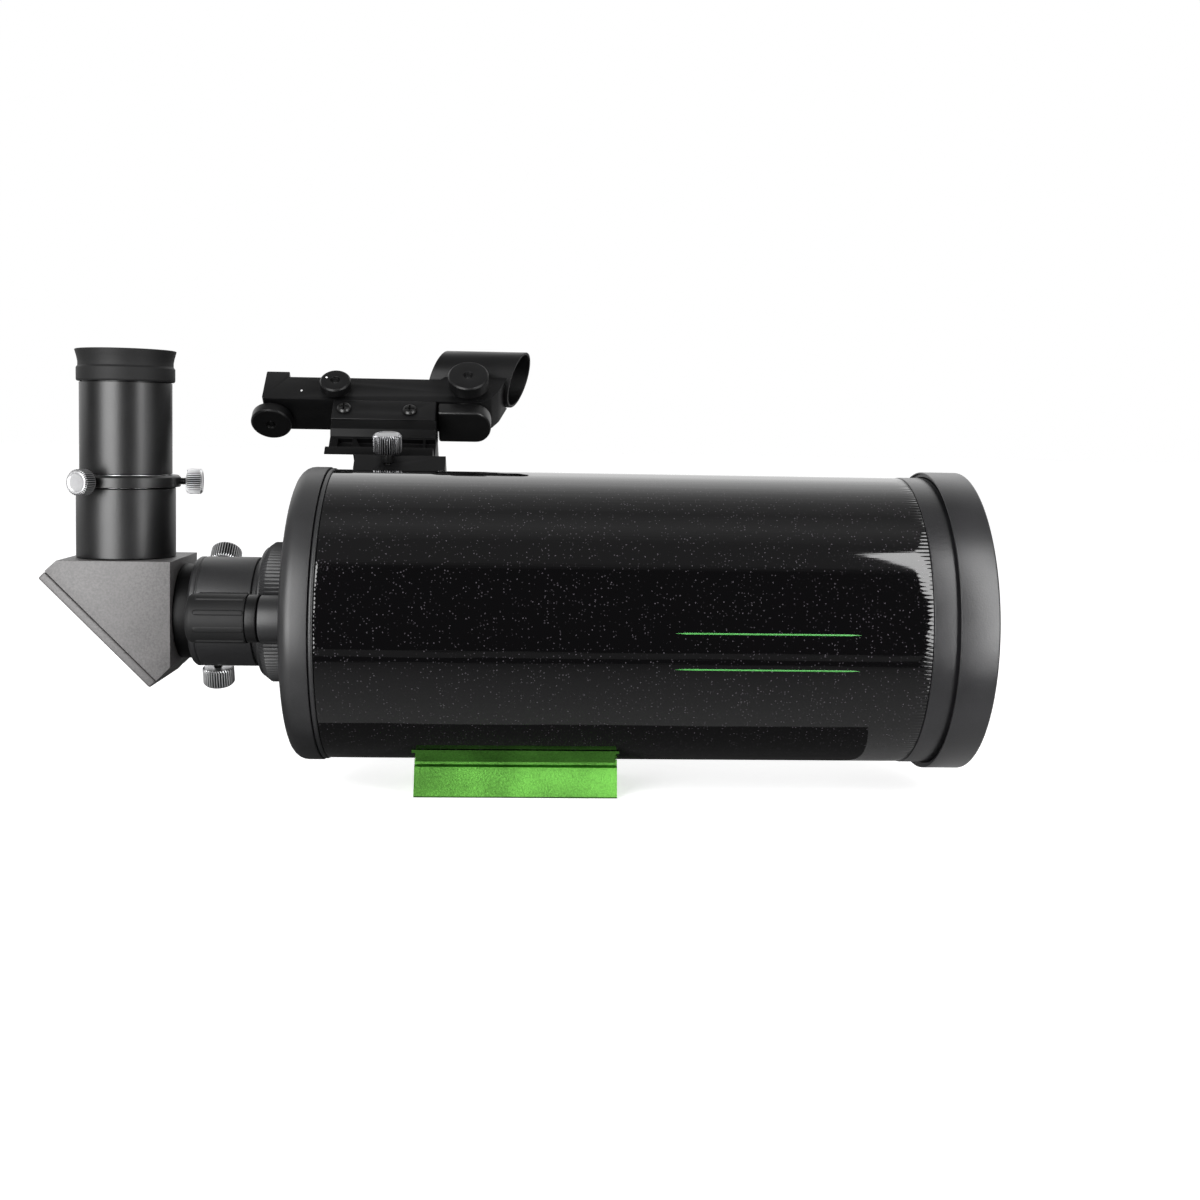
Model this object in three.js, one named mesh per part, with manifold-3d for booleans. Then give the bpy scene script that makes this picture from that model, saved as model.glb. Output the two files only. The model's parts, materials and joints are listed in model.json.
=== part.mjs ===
// A 102 mm Maksutov-Cassegrain telescope with its star diagonal, eyepiece and red-dot finder.
//
// Millimetres, +Z up. The origin is the centre of the dovetail bar's bottom face, +X runs along the
// optical axis towards the sky, and the focus knob is on the -Y side.

import * as THREE from 'three';
import { mergeVertices } from 'three/addons/utils/BufferGeometryUtils.js';
import Module from 'manifold-3d';

const wasm = await Module();
wasm.setup();

// ---------------------------------------------------------------- driving dimensions

const GAP = 0.3;                    // between two pieces that touch

const AXIS_HEIGHT = 69;             // optical axis above the dovetail's bottom face
const TUBE_RADIUS = 57;
const TUBE_WALL = 1.7;
const TUBE_REAR = -72.6;
const TUBE_FRONT = 152;
const APERTURE_RADIUS = 50.9;

const CELL_RADIUS = 57.8;           // rear cell
const CELL_BACK = -86;
const FRONT_CELL_RADIUS = 57.2;
const CAP_RADIUS = 59.5;
const CAP_LIP = 161.5;
const CAP_FACE = 178;

const MIRROR_BACK = -72.2;          // back of the primary mirror, at rest
const MIRROR_CURVE = 420;           // radius of curvature of the primary
const MENISCUS_FRONT_CURVE = 128;
const MENISCUS_BACK_CURVE = 132;

const FOCUS_Y = -38;                // focus shaft's axis, from the optical axis
const FOCUS_Z = 2.3;
const FOCUS_SHAFT_RADIUS = 2.5;
const KNOB_FRONT = -95.2;
const GRIP_RADIUS = 9.5;

const BARREL_RADIUS = 15.85;        // the 31.7 mm (1.25 inch) push fit
const SOCKET_RADIUS = 16.1;
const VISUAL_BACK_RADIUS = 21.6;
const VISUAL_BACK_END = -126.5;
const CLAMP_SCREW_X = -120.5;

const DIAGONAL_FACE = -132.5;       // the diagonal's flat side towards the telescope
const DIAGONAL_TOP = 21.3;          // above the optical axis
const DIAGONAL_WIDTH = 42;
const EYEPIECE_X = -154.9;
const HOLDER_RADIUS = 18.7;
const HOLDER_TOP = 48.7;            // above the optical axis
const RING_RADIUS = 20.5;
const RING_TOP = 53.6;
const EYEPIECE_RADIUS = 17.4;
const EYEPIECE_TOP = 89.6;

const DOVETAIL_LENGTH = 79;
const DOVETAIL_HALF = 22;           // half of the widest width
const SADDLE_HALF = 31;             // half width of the flange that cradles the tube

const FINDER_TILT = -Math.PI / 4;   // the finder stands 45 degrees round the tube
const FINDER_X = [-84, -38];        // its foot, rear and front
const SHOE_X = [-70.6, -32.2];
const ARM_X = [-116.6, -8];
const ARM_HALF = 9.5;
const ARM_Z = [112, 126.3];         // from the optical axis, in the finder's own frame
const HOOD_Z = 137.3;
const HOOD_RADIUS = 12.9;
const HOOD_SLANT = 0.4;             // the hood's ends lean forward towards its top

const FINE = 40;                    // sides of large round pieces
const ROUND = 24;
const SMALL = 16;
const TINY = 12;

// ---------------------------------------------------------------- materials

const paint = (color, roughness, metalness) =>
  new THREE.MeshStandardMaterial({ color, roughness, metalness });

const tubePaint = paint(0x17161a, 0.2, 0.4);
const satinBlack = paint(0x2b2b2d, 0.5, 0.3);
const darkGrey = paint(0x4a4748, 0.55, 0.3);
const blackAluminium = paint(0x151516, 0.35, 0.8);
const greenAluminium = paint(0x3f9a33, 0.35, 0.9);
const rubber = paint(0x1c1c1c, 0.85, 0);
const plastic = paint(0x1a1a1b, 0.6, 0);
const steel = paint(0xc8c8ca, 0.25, 1);
const brass = paint(0xb08d45, 0.35, 1);
const glass = paint(0xa8c0c4, 0.05, 0);
const mirror = paint(0xe6e8ea, 0.03, 1);
const redLight = paint(0xb01818, 0.3, 0);

// ---------------------------------------------------------------- shapes and solids

// Solid of revolution about Z from [radius, z] corners. The outline closes on itself, or
// starts and ends on the axis.
function turned(corners, sides = ROUND) {
  const points = corners.map(([radius, z]) => new THREE.Vector2(radius, z));
  if (THREE.ShapeUtils.isClockWise(points)) points.reverse();
  const onAxis = points.some((point) => point.x === 0);
  if (onAxis) {
    while (!(points[0].x === 0 && points[points.length - 1].x === 0)) points.push(points.shift());
  } else {
    points.push(points[0].clone());
  }
  return new THREE.LatheGeometry(points, sides).rotateX(Math.PI / 2);
}

// Cylinder along Z from z0 to z1.
function rod(radius, z0, z1, sides = SMALL) {
  return turned([[0, z0], [radius, z0], [radius, z1], [0, z1]], sides);
}

// Ring along Z from z0 to z1.
function ring(inner, outer, z0, z1, sides = ROUND) {
  return turned([[inner, z0], [outer, z0], [outer, z1], [inner, z1]], sides);
}

function block([x0, x1], [y0, y1], [z0, z1]) {
  const box = new THREE.BoxGeometry(x1 - x0, y1 - y0, z1 - z0);
  return box.translate((x0 + x1) / 2, (y0 + y1) / 2, (z0 + z1) / 2);
}

function extruded(corners, depth) {
  const shape = new THREE.Shape(corners.map(([x, y]) => new THREE.Vector2(x, y)));
  return new THREE.ExtrudeGeometry(shape, { depth, bevelEnabled: false, steps: 1 });
}

// Outline in X and Z, from y0 to y1.
function sideProfile(corners, [y0, y1]) {
  return extruded(corners, y1 - y0).rotateX(Math.PI / 2).translate(0, y1, 0);
}

// Outline in Y and Z, from x0 to x1.
function endProfile(corners, [x0, x1]) {
  const basis = new THREE.Matrix4().makeBasis(
    new THREE.Vector3(0, 1, 0), new THREE.Vector3(0, 0, 1), new THREE.Vector3(1, 0, 0));
  return extruded(corners, x1 - x0).applyMatrix4(basis).translate(x0, 0, 0);
}

// Arc of points round a centre, in degrees.
function arc([cx, cy], radius, from, to, steps) {
  return Array.from({ length: steps + 1 }, (_, i) => {
    const angle = THREE.MathUtils.degToRad(from + (to - from) * i / steps);
    return [cx + radius * Math.cos(angle), cy + radius * Math.sin(angle)];
  });
}

function toSolid(geometry) {
  const bare = geometry.clone();
  bare.deleteAttribute('normal');
  bare.deleteAttribute('uv');
  const merged = mergeVertices(bare, 1e-4);
  const index = merged.index.array;
  const triangles = [];
  for (let i = 0; i < index.length; i += 3) {
    const [a, b, c] = [index[i], index[i + 1], index[i + 2]];
    if (a !== b && b !== c && c !== a) triangles.push(a, b, c);
  }
  return new wasm.Manifold(new wasm.Mesh({
    numProp: 3,
    vertProperties: new Float32Array(merged.attributes.position.array),
    triVerts: new Uint32Array(triangles),
  }));
}

function toGeometry(solid) {
  const mesh = solid.getMesh();
  const geometry = new THREE.BufferGeometry();
  geometry.setAttribute('position', new THREE.BufferAttribute(mesh.vertProperties, 3));
  geometry.setIndex(new THREE.BufferAttribute(mesh.triVerts, 1));
  geometry.computeVertexNormals();
  return geometry;
}

function cut(base, ...tools) {
  return toGeometry(tools.reduce((solid, tool) => solid.subtract(toSolid(tool)), toSolid(base)));
}

function join(...pieces) {
  return toGeometry(pieces.map(toSolid).reduce((solid, piece) => solid.add(piece)));
}

function overlap(a, b) {
  return toGeometry(toSolid(a).intersect(toSolid(b)));
}

function piece(group, name, geometry, material) {
  const mesh = new THREE.Mesh(geometry, material);
  mesh.name = name;
  group.add(mesh);
}

// ---------------------------------------------------------------- groups

const telescope = new THREE.Group();

// Round pieces on the optical axis: local z is the telescope's X, and local x points down.
const axial = new THREE.Group();
axial.position.z = AXIS_HEIGHT;
axial.rotation.y = Math.PI / 2;

// Pieces drawn in X and Z about the optical axis.
const upright = new THREE.Group();
upright.position.z = AXIS_HEIGHT;

// Round pieces on the eyepiece's axis, local z up from the optical axis.
const eyepieceAxis = new THREE.Group();
eyepieceAxis.position.set(EYEPIECE_X, 0, AXIS_HEIGHT);

// Round pieces on the focus shaft's axis, local z along X.
const focusAxis = new THREE.Group();
focusAxis.position.set(0, FOCUS_Y, AXIS_HEIGHT + FOCUS_Z);
focusAxis.rotation.y = Math.PI / 2;

// The finder: local z points out from the optical axis, and -y is the side with the knobs.
const finder = new THREE.Group();
finder.position.z = AXIS_HEIGHT;
finder.rotation.x = FINDER_TILT;

telescope.add(axial, upright, eyepieceAxis, focusAxis, finder);

// ---------------------------------------------------------------- tube and cells

function tube() {
  const inner = TUBE_RADIUS - TUBE_WALL;
  piece(axial, 'optical_tube', ring(inner, TUBE_RADIUS, TUBE_REAR, TUBE_FRONT, FINE), tubePaint);
  const seam = ring(inner, TUBE_RADIUS + 0.4, TUBE_REAR - GAP - 1.8, TUBE_REAR - GAP, FINE);
  piece(axial, 'tube_seam_ring', seam, satinBlack);
}

const CELL_FLOOR = -83.2;
const COLLIMATION_RADIUS = 41;
const COLLIMATION_ANGLES = [60, 180, 300];

function rearCell() {
  const front = TUBE_REAR - 2.4;
  const shoulder = arc([CELL_RADIUS - 6, CELL_BACK + 6], 6, 0, -90, 5);
  const dish = turned([
    [53.6, -66], [54.9, -66], [54.9, front], [CELL_RADIUS, front], ...shoulder,
    [19.5, CELL_BACK], [19.5, CELL_FLOOR], [50, CELL_FLOOR], [53.6, -79.6],
  ], FINE);
  const bushHole = rod(6.3, -95, -82, SMALL).translate(-FOCUS_Z, FOCUS_Y, 0);
  const screwHoles = COLLIMATION_ANGLES.map((angle) =>
    rod(2.8, -95, -82, TINY).translate(...onCircle(COLLIMATION_RADIUS, angle)));
  piece(axial, 'rear_cell', cut(dish, bushHole, ...screwHoles), satinBlack);
}

function onCircle(radius, degrees) {
  const angle = THREE.MathUtils.degToRad(degrees);
  return [radius * Math.cos(angle), radius * Math.sin(angle), 0];
}

function collimationScrews() {
  COLLIMATION_ANGLES.forEach((angle, i) => {
    const head = turned([
      [1.3, -85.9], [2.4, -85.9], [2.4, -82.9], [0, -82.9], [0, -84.5], [1.3, -84.5],
    ], TINY);
    head.translate(...onCircle(COLLIMATION_RADIUS, angle));
    piece(axial, `collimation_screw_${i + 1}`, head, steel);
  });
}

function frontCell() {
  piece(axial, 'front_cell', turned([
    [APERTURE_RADIUS, 143], [54.9, 143], [54.9, TUBE_FRONT + GAP],
    [FRONT_CELL_RADIUS, TUBE_FRONT + GAP], [FRONT_CELL_RADIUS, 169.6], [56.6, 170.2],
    [52.4, 170.2], [52.4, 155.2], [APERTURE_RADIUS, 155.2],
  ], FINE), satinBlack);
  piece(axial, 'lens_retaining_ring', ring(50.4, 52.1, 165.2, 168.4, FINE), blackAluminium);
}

function dustCap() {
  const edge = arc([CAP_RADIUS - 3.5, CAP_FACE - 3.5], 3.5, 0, 90, 4);
  piece(axial, 'dust_cap', turned([
    [57.6, CAP_LIP], [CAP_RADIUS, CAP_LIP], ...edge, [0, CAP_FACE],
    [0, CAP_FACE - 2], [55.6, CAP_FACE - 2], [57.6, CAP_FACE - 4],
  ], FINE), satinBlack);
}

// ---------------------------------------------------------------- optics inside the tube

const sag = (radius, curve) => curve - Math.sqrt(curve * curve - radius * radius);

const MENISCUS_RIM = [155.9, 164.9];
const MENISCUS_RADIUS = 52;

function meniscusBack(radius) {
  const centre = MENISCUS_RIM[0] - sag(MENISCUS_RADIUS, MENISCUS_BACK_CURVE);
  return centre + sag(radius, MENISCUS_BACK_CURVE);
}

function meniscusFront(radius) {
  const centre = MENISCUS_RIM[1] - sag(MENISCUS_RADIUS, MENISCUS_FRONT_CURVE);
  return centre + sag(radius, MENISCUS_FRONT_CURVE);
}

function corrector() {
  const rings = [0, 13, 26, 39, MENISCUS_RADIUS];
  piece(axial, 'meniscus_lens', turned([
    ...rings.map((radius) => [radius, meniscusBack(radius)]),
    ...rings.toReversed().map((radius) => [radius, meniscusFront(radius)]),
  ], FINE), glass);
  piece(axial, 'secondary_spot', turned([
    [0, meniscusBack(0) - 0.9], [12.5, meniscusBack(12.5) - 0.9],
    [12.5, meniscusBack(12.5) - GAP], [0, meniscusBack(0) - GAP],
  ], ROUND), mirror);
  piece(axial, 'secondary_baffle', turned([
    [14.4, meniscusBack(14) - 0.4], [16.2, meniscusBack(16) - 0.6], [19, 130], [18, 130],
  ], ROUND), plastic);
}

function primary() {
  const front = (radius) => MIRROR_BACK + 10.5 + sag(radius, MIRROR_CURVE);
  piece(axial, 'primary_mirror', turned([
    [21.2, MIRROR_BACK], [53, MIRROR_BACK], [53, front(53)], [37, front(37)], [21.2, front(21.2)],
  ], FINE), mirror);

  const back = MIRROR_BACK - GAP;
  const hub = turned([
    [17.4, back - 6.4], [20.5, back - 6.4], [20.5, back - 3.5], [46, back - 3.5], [46, back],
    [20.5, back], [20.5, -50], [17.4, -50],
  ], ROUND);
  const nut = rod(5, back - 7.2, back - 1, SMALL).translate(-FOCUS_Z, FOCUS_Y, 0);
  const thread = rod(FOCUS_SHAFT_RADIUS + 0.4, back - 15, back + 5, SMALL).translate(-FOCUS_Z, FOCUS_Y, 0);
  piece(axial, 'mirror_carriage', cut(join(hub, nut), thread), blackAluminium);

  piece(axial, 'primary_baffle_tube', turned([
    [14.6, -94.5], [17, -94.5], [17, -44], [13.2, 28], [11.6, 28], [14.6, -44],
  ], ROUND), blackAluminium);
}

// ---------------------------------------------------------------- focuser

function focuser() {
  piece(focusAxis, 'focus_bush', turned([
    [3, -94.9], [8.3, -94.9], [8.7, -94.5], [8.7, -86.3], [6, -86.3], [6, -84], [3, -84],
  ], ROUND), satinBlack);
  piece(focusAxis, 'focus_shaft', rod(FOCUS_SHAFT_RADIUS, -117, -76.6, SMALL), steel);
  piece(focusAxis, 'focus_knob', turned([
    [2.8, KNOB_FRONT], [8.9, KNOB_FRONT], [8.9, -99.2], [8, -99.2], [8, -119.8], [0, -119.8],
    [0, -117.4], [2.8, -117.4],
  ], ROUND), plastic);
  piece(focusAxis, 'focus_grip', turned([
    [8.3, -99.5], [GRIP_RADIUS, -99.5], [GRIP_RADIUS, -119.4], [8.6, -120.9], [5, -120.9],
    [5, -120.1], [8.3, -120.1],
  ], ROUND), rubber);
}

// ---------------------------------------------------------------- rear port and visual back

const VISUAL_BACK_SCREWS = [45, 165];   // degrees from straight up, towards +Y
const SCREW_HOLE = 1.8;

function visualBack() {
  piece(axial, 'rear_port', turned([
    [17.3, -94.9], [23.5, -94.9], [23.5, -86.3], [19.2, -86.3], [19.2, -83.2], [17.3, -83.2],
  ], ROUND), blackAluminium);
  piece(axial, 'lock_ring', turned([
    [21, -100], [24.9, -100], [25.6, -99.3], [25.6, -97.4], [26.6, -97.2], [27.7, -96],
    [27.7, -86.4], [23.9, -86.4], [23.9, -97], [21, -97],
  ], ROUND), satinBlack);
  const body = turned([
    [SOCKET_RADIUS, VISUAL_BACK_END], [20.8, VISUAL_BACK_END], [VISUAL_BACK_RADIUS, -125.7],
    [VISUAL_BACK_RADIUS, -102.4], [20.6, -102.4], [20.6, -96.7], [23.5, -96.7], [23.5, -95.2],
    [SOCKET_RADIUS, -95.2],
  ], ROUND);
  const holes = VISUAL_BACK_SCREWS.map((degrees) => {
    const hole = rod(SCREW_HOLE, 12, 26, TINY).rotateY(-Math.PI / 2);
    return hole.rotateZ(-THREE.MathUtils.degToRad(degrees)).translate(0, 0, CLAMP_SCREW_X);
  });
  piece(axial, 'visual_back', cut(body, ...holes), satinBlack);
}

// ---------------------------------------------------------------- star diagonal

// The mirror's face lies at 45 degrees through the point where the two axes cross, so lines
// parallel to it have a constant X + Z, here called lean.
const MIRROR_LEAN = EYEPIECE_X;
const SEAM_LEAN = -162.4;
const COVER_LEAN = -167.8;

// Box lying in the 45-degree frame: along the mirror, across it (Y), and between two leans.
function leaning(along, width, from, to) {
  const depth = [from, to].map((lean) => (lean - EYEPIECE_X) / Math.SQRT2).sort((a, b) => a - b);
  const box = block([-along / 2, along / 2], [-width / 2, width / 2], depth);
  return box.rotateY(Math.PI / 4).translate(EYEPIECE_X, 0, 0);
}

function diagonal() {
  piece(axial, 'diagonal_nosepiece', turned([
    [13.6, -97.5], [BARREL_RADIUS, -97.5], [BARREL_RADIUS, VISUAL_BACK_END - GAP],
    [18.6, VISUAL_BACK_END - GAP], [18.6, DIAGONAL_FACE + GAP], [13.6, DIAGONAL_FACE + GAP],
  ], ROUND), blackAluminium);

  const outline = [
    [DIAGONAL_FACE, DIAGONAL_TOP], [-175.1, DIAGONAL_TOP], [-179.6, 17.2], [-137.8, -24.6],
    [DIAGONAL_FACE, -19.3],
  ];
  const half = DIAGONAL_WIDTH / 2;
  const body = sideProfile(outline, [-half, half]);
  const inPort = rod(13.8, -160, -130, ROUND).rotateY(Math.PI / 2);
  const outPort = rod(13.8, -25, 25, ROUND).translate(EYEPIECE_X, 0, 0);
  const lightPath = overlap(join(inPort, outPort), leaning(120, 60, MIRROR_LEAN - 0.1, -80));
  const recess = leaning(44, 32, MIRROR_LEAN + 0.3, SEAM_LEAN - 2);
  piece(upright, 'diagonal_housing', cut(body, lightPath, recess), darkGrey);
  piece(upright, 'diagonal_mirror', leaning(43, 31, MIRROR_LEAN, SEAM_LEAN + 0.2), mirror);

  const cover = leaning(59, DIAGONAL_WIDTH - 0.6, SEAM_LEAN - 0.45, COVER_LEAN);
  piece(upright, 'diagonal_cover', cover, darkGrey);
}

const HOLDER_SCREWS = [-112, 8];        // degrees round the eyepiece's axis, from +X
const HOLDER_SCREW_Z = 51.2;

function eyepieceHolder() {
  const holder = ring(SOCKET_RADIUS, HOLDER_RADIUS, DIAGONAL_TOP + GAP, HOLDER_TOP);
  piece(eyepieceAxis, 'eyepiece_holder', holder, blackAluminium);
  const clamp = turned([
    [SOCKET_RADIUS, HOLDER_TOP + GAP], [RING_RADIUS, HOLDER_TOP + GAP], [RING_RADIUS, 52.8],
    [19.7, RING_TOP], [SOCKET_RADIUS, RING_TOP],
  ]);
  const holes = HOLDER_SCREWS.map((degrees) => {
    const hole = rod(SCREW_HOLE, 12, 24, TINY).rotateY(Math.PI / 2);
    return hole.rotateZ(THREE.MathUtils.degToRad(degrees)).translate(0, 0, HOLDER_SCREW_Z);
  });
  piece(eyepieceAxis, 'eyepiece_clamp_ring', cut(clamp, ...holes), blackAluminium);
}

function eyepiece() {
  const seat = RING_TOP + GAP;
  piece(eyepieceAxis, 'eyepiece_barrel', ring(13.4, BARREL_RADIUS, 26, 56.7), steel);
  piece(eyepieceAxis, 'eyepiece_body', turned([
    [16.15, seat], [EYEPIECE_RADIUS, seat], [EYEPIECE_RADIUS, EYEPIECE_TOP], [16.4, EYEPIECE_TOP],
    [16.4, 94.6], [10.4, 94.6], [10.4, 92.9], [11.4, 92.9], [11.4, 86], [13.4, 86], [13.4, 57],
    [16.15, 57],
  ]), blackAluminium);
  piece(eyepieceAxis, 'field_lens', turned([
    [0, 62], [13, 62], [13, 65], [7, 67], [0, 67.6],
  ], ROUND), glass);
  piece(eyepieceAxis, 'eye_lens', turned([
    [0, 86.6], [6, 87.1], [11, 88.6], [11, 92.5], [0, 92.5],
  ], ROUND), glass);
  piece(eyepieceAxis, 'eyecup', turned([
    [16.7, 89.9], [18.2, 89.9], [18.5, 90.6], [18.5, 95.3], [17.9, 95.9], [18, 97.5],
    [19, 102], [18.5, 102.3], [17.4, 99], [16.9, 96.3], [12.6, 96.3], [12.6, 94.9], [16.7, 94.9],
  ]), rubber);
}

// ---------------------------------------------------------------- thumb screws

// A screw stands on the +Z axis of its own group. Its stud and its knurled head are two pieces.
function thumbScrew(name, parent, place, size) {
  const group = new THREE.Group();
  place(group);
  parent.add(group);
  const [tip, headBottom, headTop, headRadius] = size;
  piece(group, `${name}_stud`, rod(1.45, tip, headBottom + 3, TINY), steel);
  const bevel = 0.8;
  const head = turned([
    [1.75, headBottom], [headRadius - bevel, headBottom], [headRadius, headBottom + bevel],
    [headRadius, headTop - bevel], [headRadius - bevel, headTop], [0, headTop],
    [0, headBottom + 3.3], [1.75, headBottom + 3.3],
  ], SMALL);
  piece(group, `${name}_head`, head, steel);
}

function thumbScrews() {
  const around = (degrees) => (group) => {
    group.position.set(CLAMP_SCREW_X, 0, 0);
    group.rotation.x = -THREE.MathUtils.degToRad(degrees);
  };
  const names = ['visual_back_screw_upper', 'visual_back_screw_lower'];
  names.forEach((name, i) =>
    thumbScrew(name, upright, around(VISUAL_BACK_SCREWS[i]), [16.2, 24, 31.5, 6.2]));

  const beside = (degrees) => (group) => {
    group.position.z = HOLDER_SCREW_Z;
    group.rotation.set(0, Math.PI / 2, THREE.MathUtils.degToRad(degrees), 'ZYX');
  };
  ['diagonal_screw_near', 'diagonal_screw_side'].forEach((name, i) =>
    thumbScrew(name, eyepieceAxis, beside(HOLDER_SCREWS[i]), [16.2, 22.9, 29.1, 5]));

  thumbScrew('shoe_screw', finder, (group) => {
    group.position.set(SHOE_SCREW_X, SHOE_SCREW_FOOT[0], SHOE_SCREW_FOOT[1]);
    group.rotation.x = SHOE_SCREW_LEAN;
  }, [-4.9, 3.9, 12.1, 6]);
}

// ---------------------------------------------------------------- dovetail bar

function dovetail() {
  const reach = Math.asin(SADDLE_HALF / (TUBE_RADIUS + GAP)) * 180 / Math.PI;
  const cradle = arc([0, AXIS_HEIGHT], TUBE_RADIUS + GAP, -90 + reach, -90 - reach, 14);
  const section = [
    [-21.4, 0], [21.4, 0], [DOVETAIL_HALF, 0.6], [18.9, 11.4], [17.6, 12.2], [17.6, 13.8],
    [26.8, 15.4], ...cradle, [-26.8, 15.4], [-17.6, 13.8], [-17.6, 12.2], [-18.9, 11.4],
    [-DOVETAIL_HALF, 0.6],
  ];
  const half = DOVETAIL_LENGTH / 2;
  const bar = endProfile(section, [-half, half]);
  const bores = DOVETAIL_SCREWS.flatMap(({ x }) => [
    rod(2.8, -1, 14).translate(x, 0, 0),
    rod(4.9, -1, 6).translate(x, 0, 0),
  ]);
  const tripodSocket = rod(3.1, -1, 8).translate(14, 0, 0);
  piece(telescope, 'dovetail_bar', cut(bar, ...bores, tripodSocket), greenAluminium);
  for (const { name, x } of DOVETAIL_SCREWS) {
    const screw = turned([
      [0, 4], [2, 4], [2, 1.5], [4.5, 1.5], [4.5, 5.7], [2.4, 5.7], [2.4, 11.3], [0, 11.3],
    ], SMALL);
    piece(telescope, name, screw.translate(x, 0, 0), steel);
  }
}

const DOVETAIL_SCREWS = [
  { name: 'dovetail_screw_rear', x: -28 },
  { name: 'dovetail_screw_front', x: 28 },
];

// ---------------------------------------------------------------- finder

const SHOE_HALF = 17.5;
const SHOE_TOP = 70.3;
const SHOE_SCREW_X = -56.4;
const SHOE_SCREW_FOOT = [-SHOE_HALF, 66.5];              // where its axis leaves the shoe
const SHOE_SCREW_LEAN = THREE.MathUtils.degToRad(58);    // from the finder's z towards -y

function shoe() {
  const base = arc([0, 0], TUBE_RADIUS + GAP, 107.8, 72.2, 8);
  const section = [...base, [SHOE_HALF, SHOE_TOP], [-SHOE_HALF, SHOE_TOP]];
  const body = endProfile(section, SHOE_X);
  const channel = endProfile(
    [[-13, 63.2], [13, 63.2], [10.5, SHOE_TOP + 0.1], [-10.5, SHOE_TOP + 0.1]],
    [SHOE_X[0] - 1, FINDER_X[1] + 0.6]);
  const hole = rod(SCREW_HOLE, -8, 3, TINY).rotateX(SHOE_SCREW_LEAN);
  hole.translate(SHOE_SCREW_X, ...SHOE_SCREW_FOOT);
  piece(finder, 'finder_shoe', cut(body, channel, hole), plastic);
}

function finderBase() {
  const foot = endProfile([
    [-12.7, 63.5], [12.7, 63.5], [10.2, SHOE_TOP], [10.2, 71.8], [16, 71.8], [16, 76.6],
    [8.5, 76.6], [8.5, 90], [11, 92.5], [11, 98], [-11, 98], [-11, 92.5], [-8.5, 90],
    [-8.5, 76.6], [-16, 76.6], [-16, 71.8], [-10.2, 71.8], [-10.2, SHOE_TOP],
  ], FINDER_X);
  const heel = sideProfile([[-86, 60], [-69.6, 60], [-73.8, 71.8], [-86, 71.8]], [-14, 14]);
  const pockets = [[-80.3, -74.1], [-67.8, -43.4], [-42.4, -37]].map((x) =>
    block(x, [-9, -5.6], [78.4, 89]));
  const pin = rod(3, 97, 101.5, SMALL).translate(PIVOT_X, 0, 0);
  piece(finder, 'finder_base', join(cut(foot, heel, ...pockets), pin), plastic);
}

const PIVOT_X = -61;

function finderCarriage() {
  const body = block([-84.4, -38.8], [-11, 11], [98.5, 110.4]);
  const lug = block([PIVOT_X - 3, PIVOT_X + 3], [-4, 4], [110, 118]);
  const pinHole = rod(3.3, 98, 102, SMALL).translate(PIVOT_X, 0, 0);
  const screwHoles = SIDE_SCREWS.map(({ x, z }) =>
    rod(1.6, 5.5, 12, TINY).rotateX(Math.PI / 2).translate(x, 0, z));
  piece(finder, 'finder_carriage', cut(join(body, lug), pinHole, ...screwHoles), plastic);
  for (const { name, x, z } of SIDE_SCREWS) {
    const screw = turned([
      [0, 6], [1.3, 6], [1.3, 11.3], [3.2, 11.3], [2.7, 12.6], [0, 12.9],
    ], SMALL);
    piece(finder, name, screw.rotateX(Math.PI / 2).translate(x, 0, z), steel);
  }
}

const SIDE_SCREWS = [
  { name: 'finder_screw_rear', x: -79.2, z: 104.7 },
  { name: 'finder_screw_front', x: -50.2, z: 104.1 },
];

const LED_Z = 128;
const BATTERY_X = -26.6;

function finderArm() {
  const [rear, front] = ARM_X;
  const [bottom, top] = ARM_Z;
  const body = sideProfile([
    [rear, bottom], [-19, bottom], [-14.5, 115], [-11.5, 119], [front + 0.4, 128.5],
    [-36, 128.5], [-38, top], [-106.3, top], [-106.3, 129.6], [rear, 129.6],
  ], [-ARM_HALF, ARM_HALF]);
  const saddle = rod(HOOD_RADIUS + GAP, -45, 5, ROUND).rotateY(Math.PI / 2).translate(0, 0, HOOD_Z);
  const pocket = block([PIVOT_X - 4.5, PIVOT_X + 4.5], [-5, 5], [bottom - 1, 119.6]);
  const ledHole = rod(1.6, -111, -105, TINY).rotateY(Math.PI / 2).translate(0, 0, LED_Z);
  const stems = KNOBS.filter(({ axis }) => axis === 'side').map(({ x, at }) =>
    rod(3.4, 7, 12, SMALL).rotateX(Math.PI / 2).translate(x, 0, at));
  const altitude = KNOBS.find(({ axis }) => axis === 'below');
  const altitudeHole = rod(3.4, bottom - 1, bottom + 3, SMALL).translate(altitude.x, altitude.at, 0);
  const arm = cut(body, saddle, pocket, ledHole, ...stems, altitudeHole);
  piece(finder, 'finder_arm', arm, plastic);

  const led = turned([[0, -110.5], [1.3, -110.5], [1.3, -107.2], [0, -106.4]], TINY);
  piece(finder, 'finder_led', led.rotateY(Math.PI / 2).translate(0, 0, LED_Z), redLight);
}

function finderHood() {
  const hood = ring(HOOD_RADIUS - 1.2, HOOD_RADIUS, -39.4, -2.5);
  piece(finder, 'finder_hood', slanted(hood), plastic);
  const lens = turned([
    [0, -21.2], [6, -20.9], [11.4, -20], [11.4, -18.4], [6, -19.2], [0, -19.5],
  ], ROUND);
  piece(finder, 'finder_lens', slanted(lens), glass);
}

// Turns a round piece onto the hood's axis and shears it along that axis, so that it stays round.
function slanted(geometry) {
  const lean = new THREE.Matrix4().makeShear(0, 0, 0, 0, HOOD_SLANT, 0);
  return geometry.rotateY(Math.PI / 2).applyMatrix4(lean).translate(0, 0, HOOD_Z);
}

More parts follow.
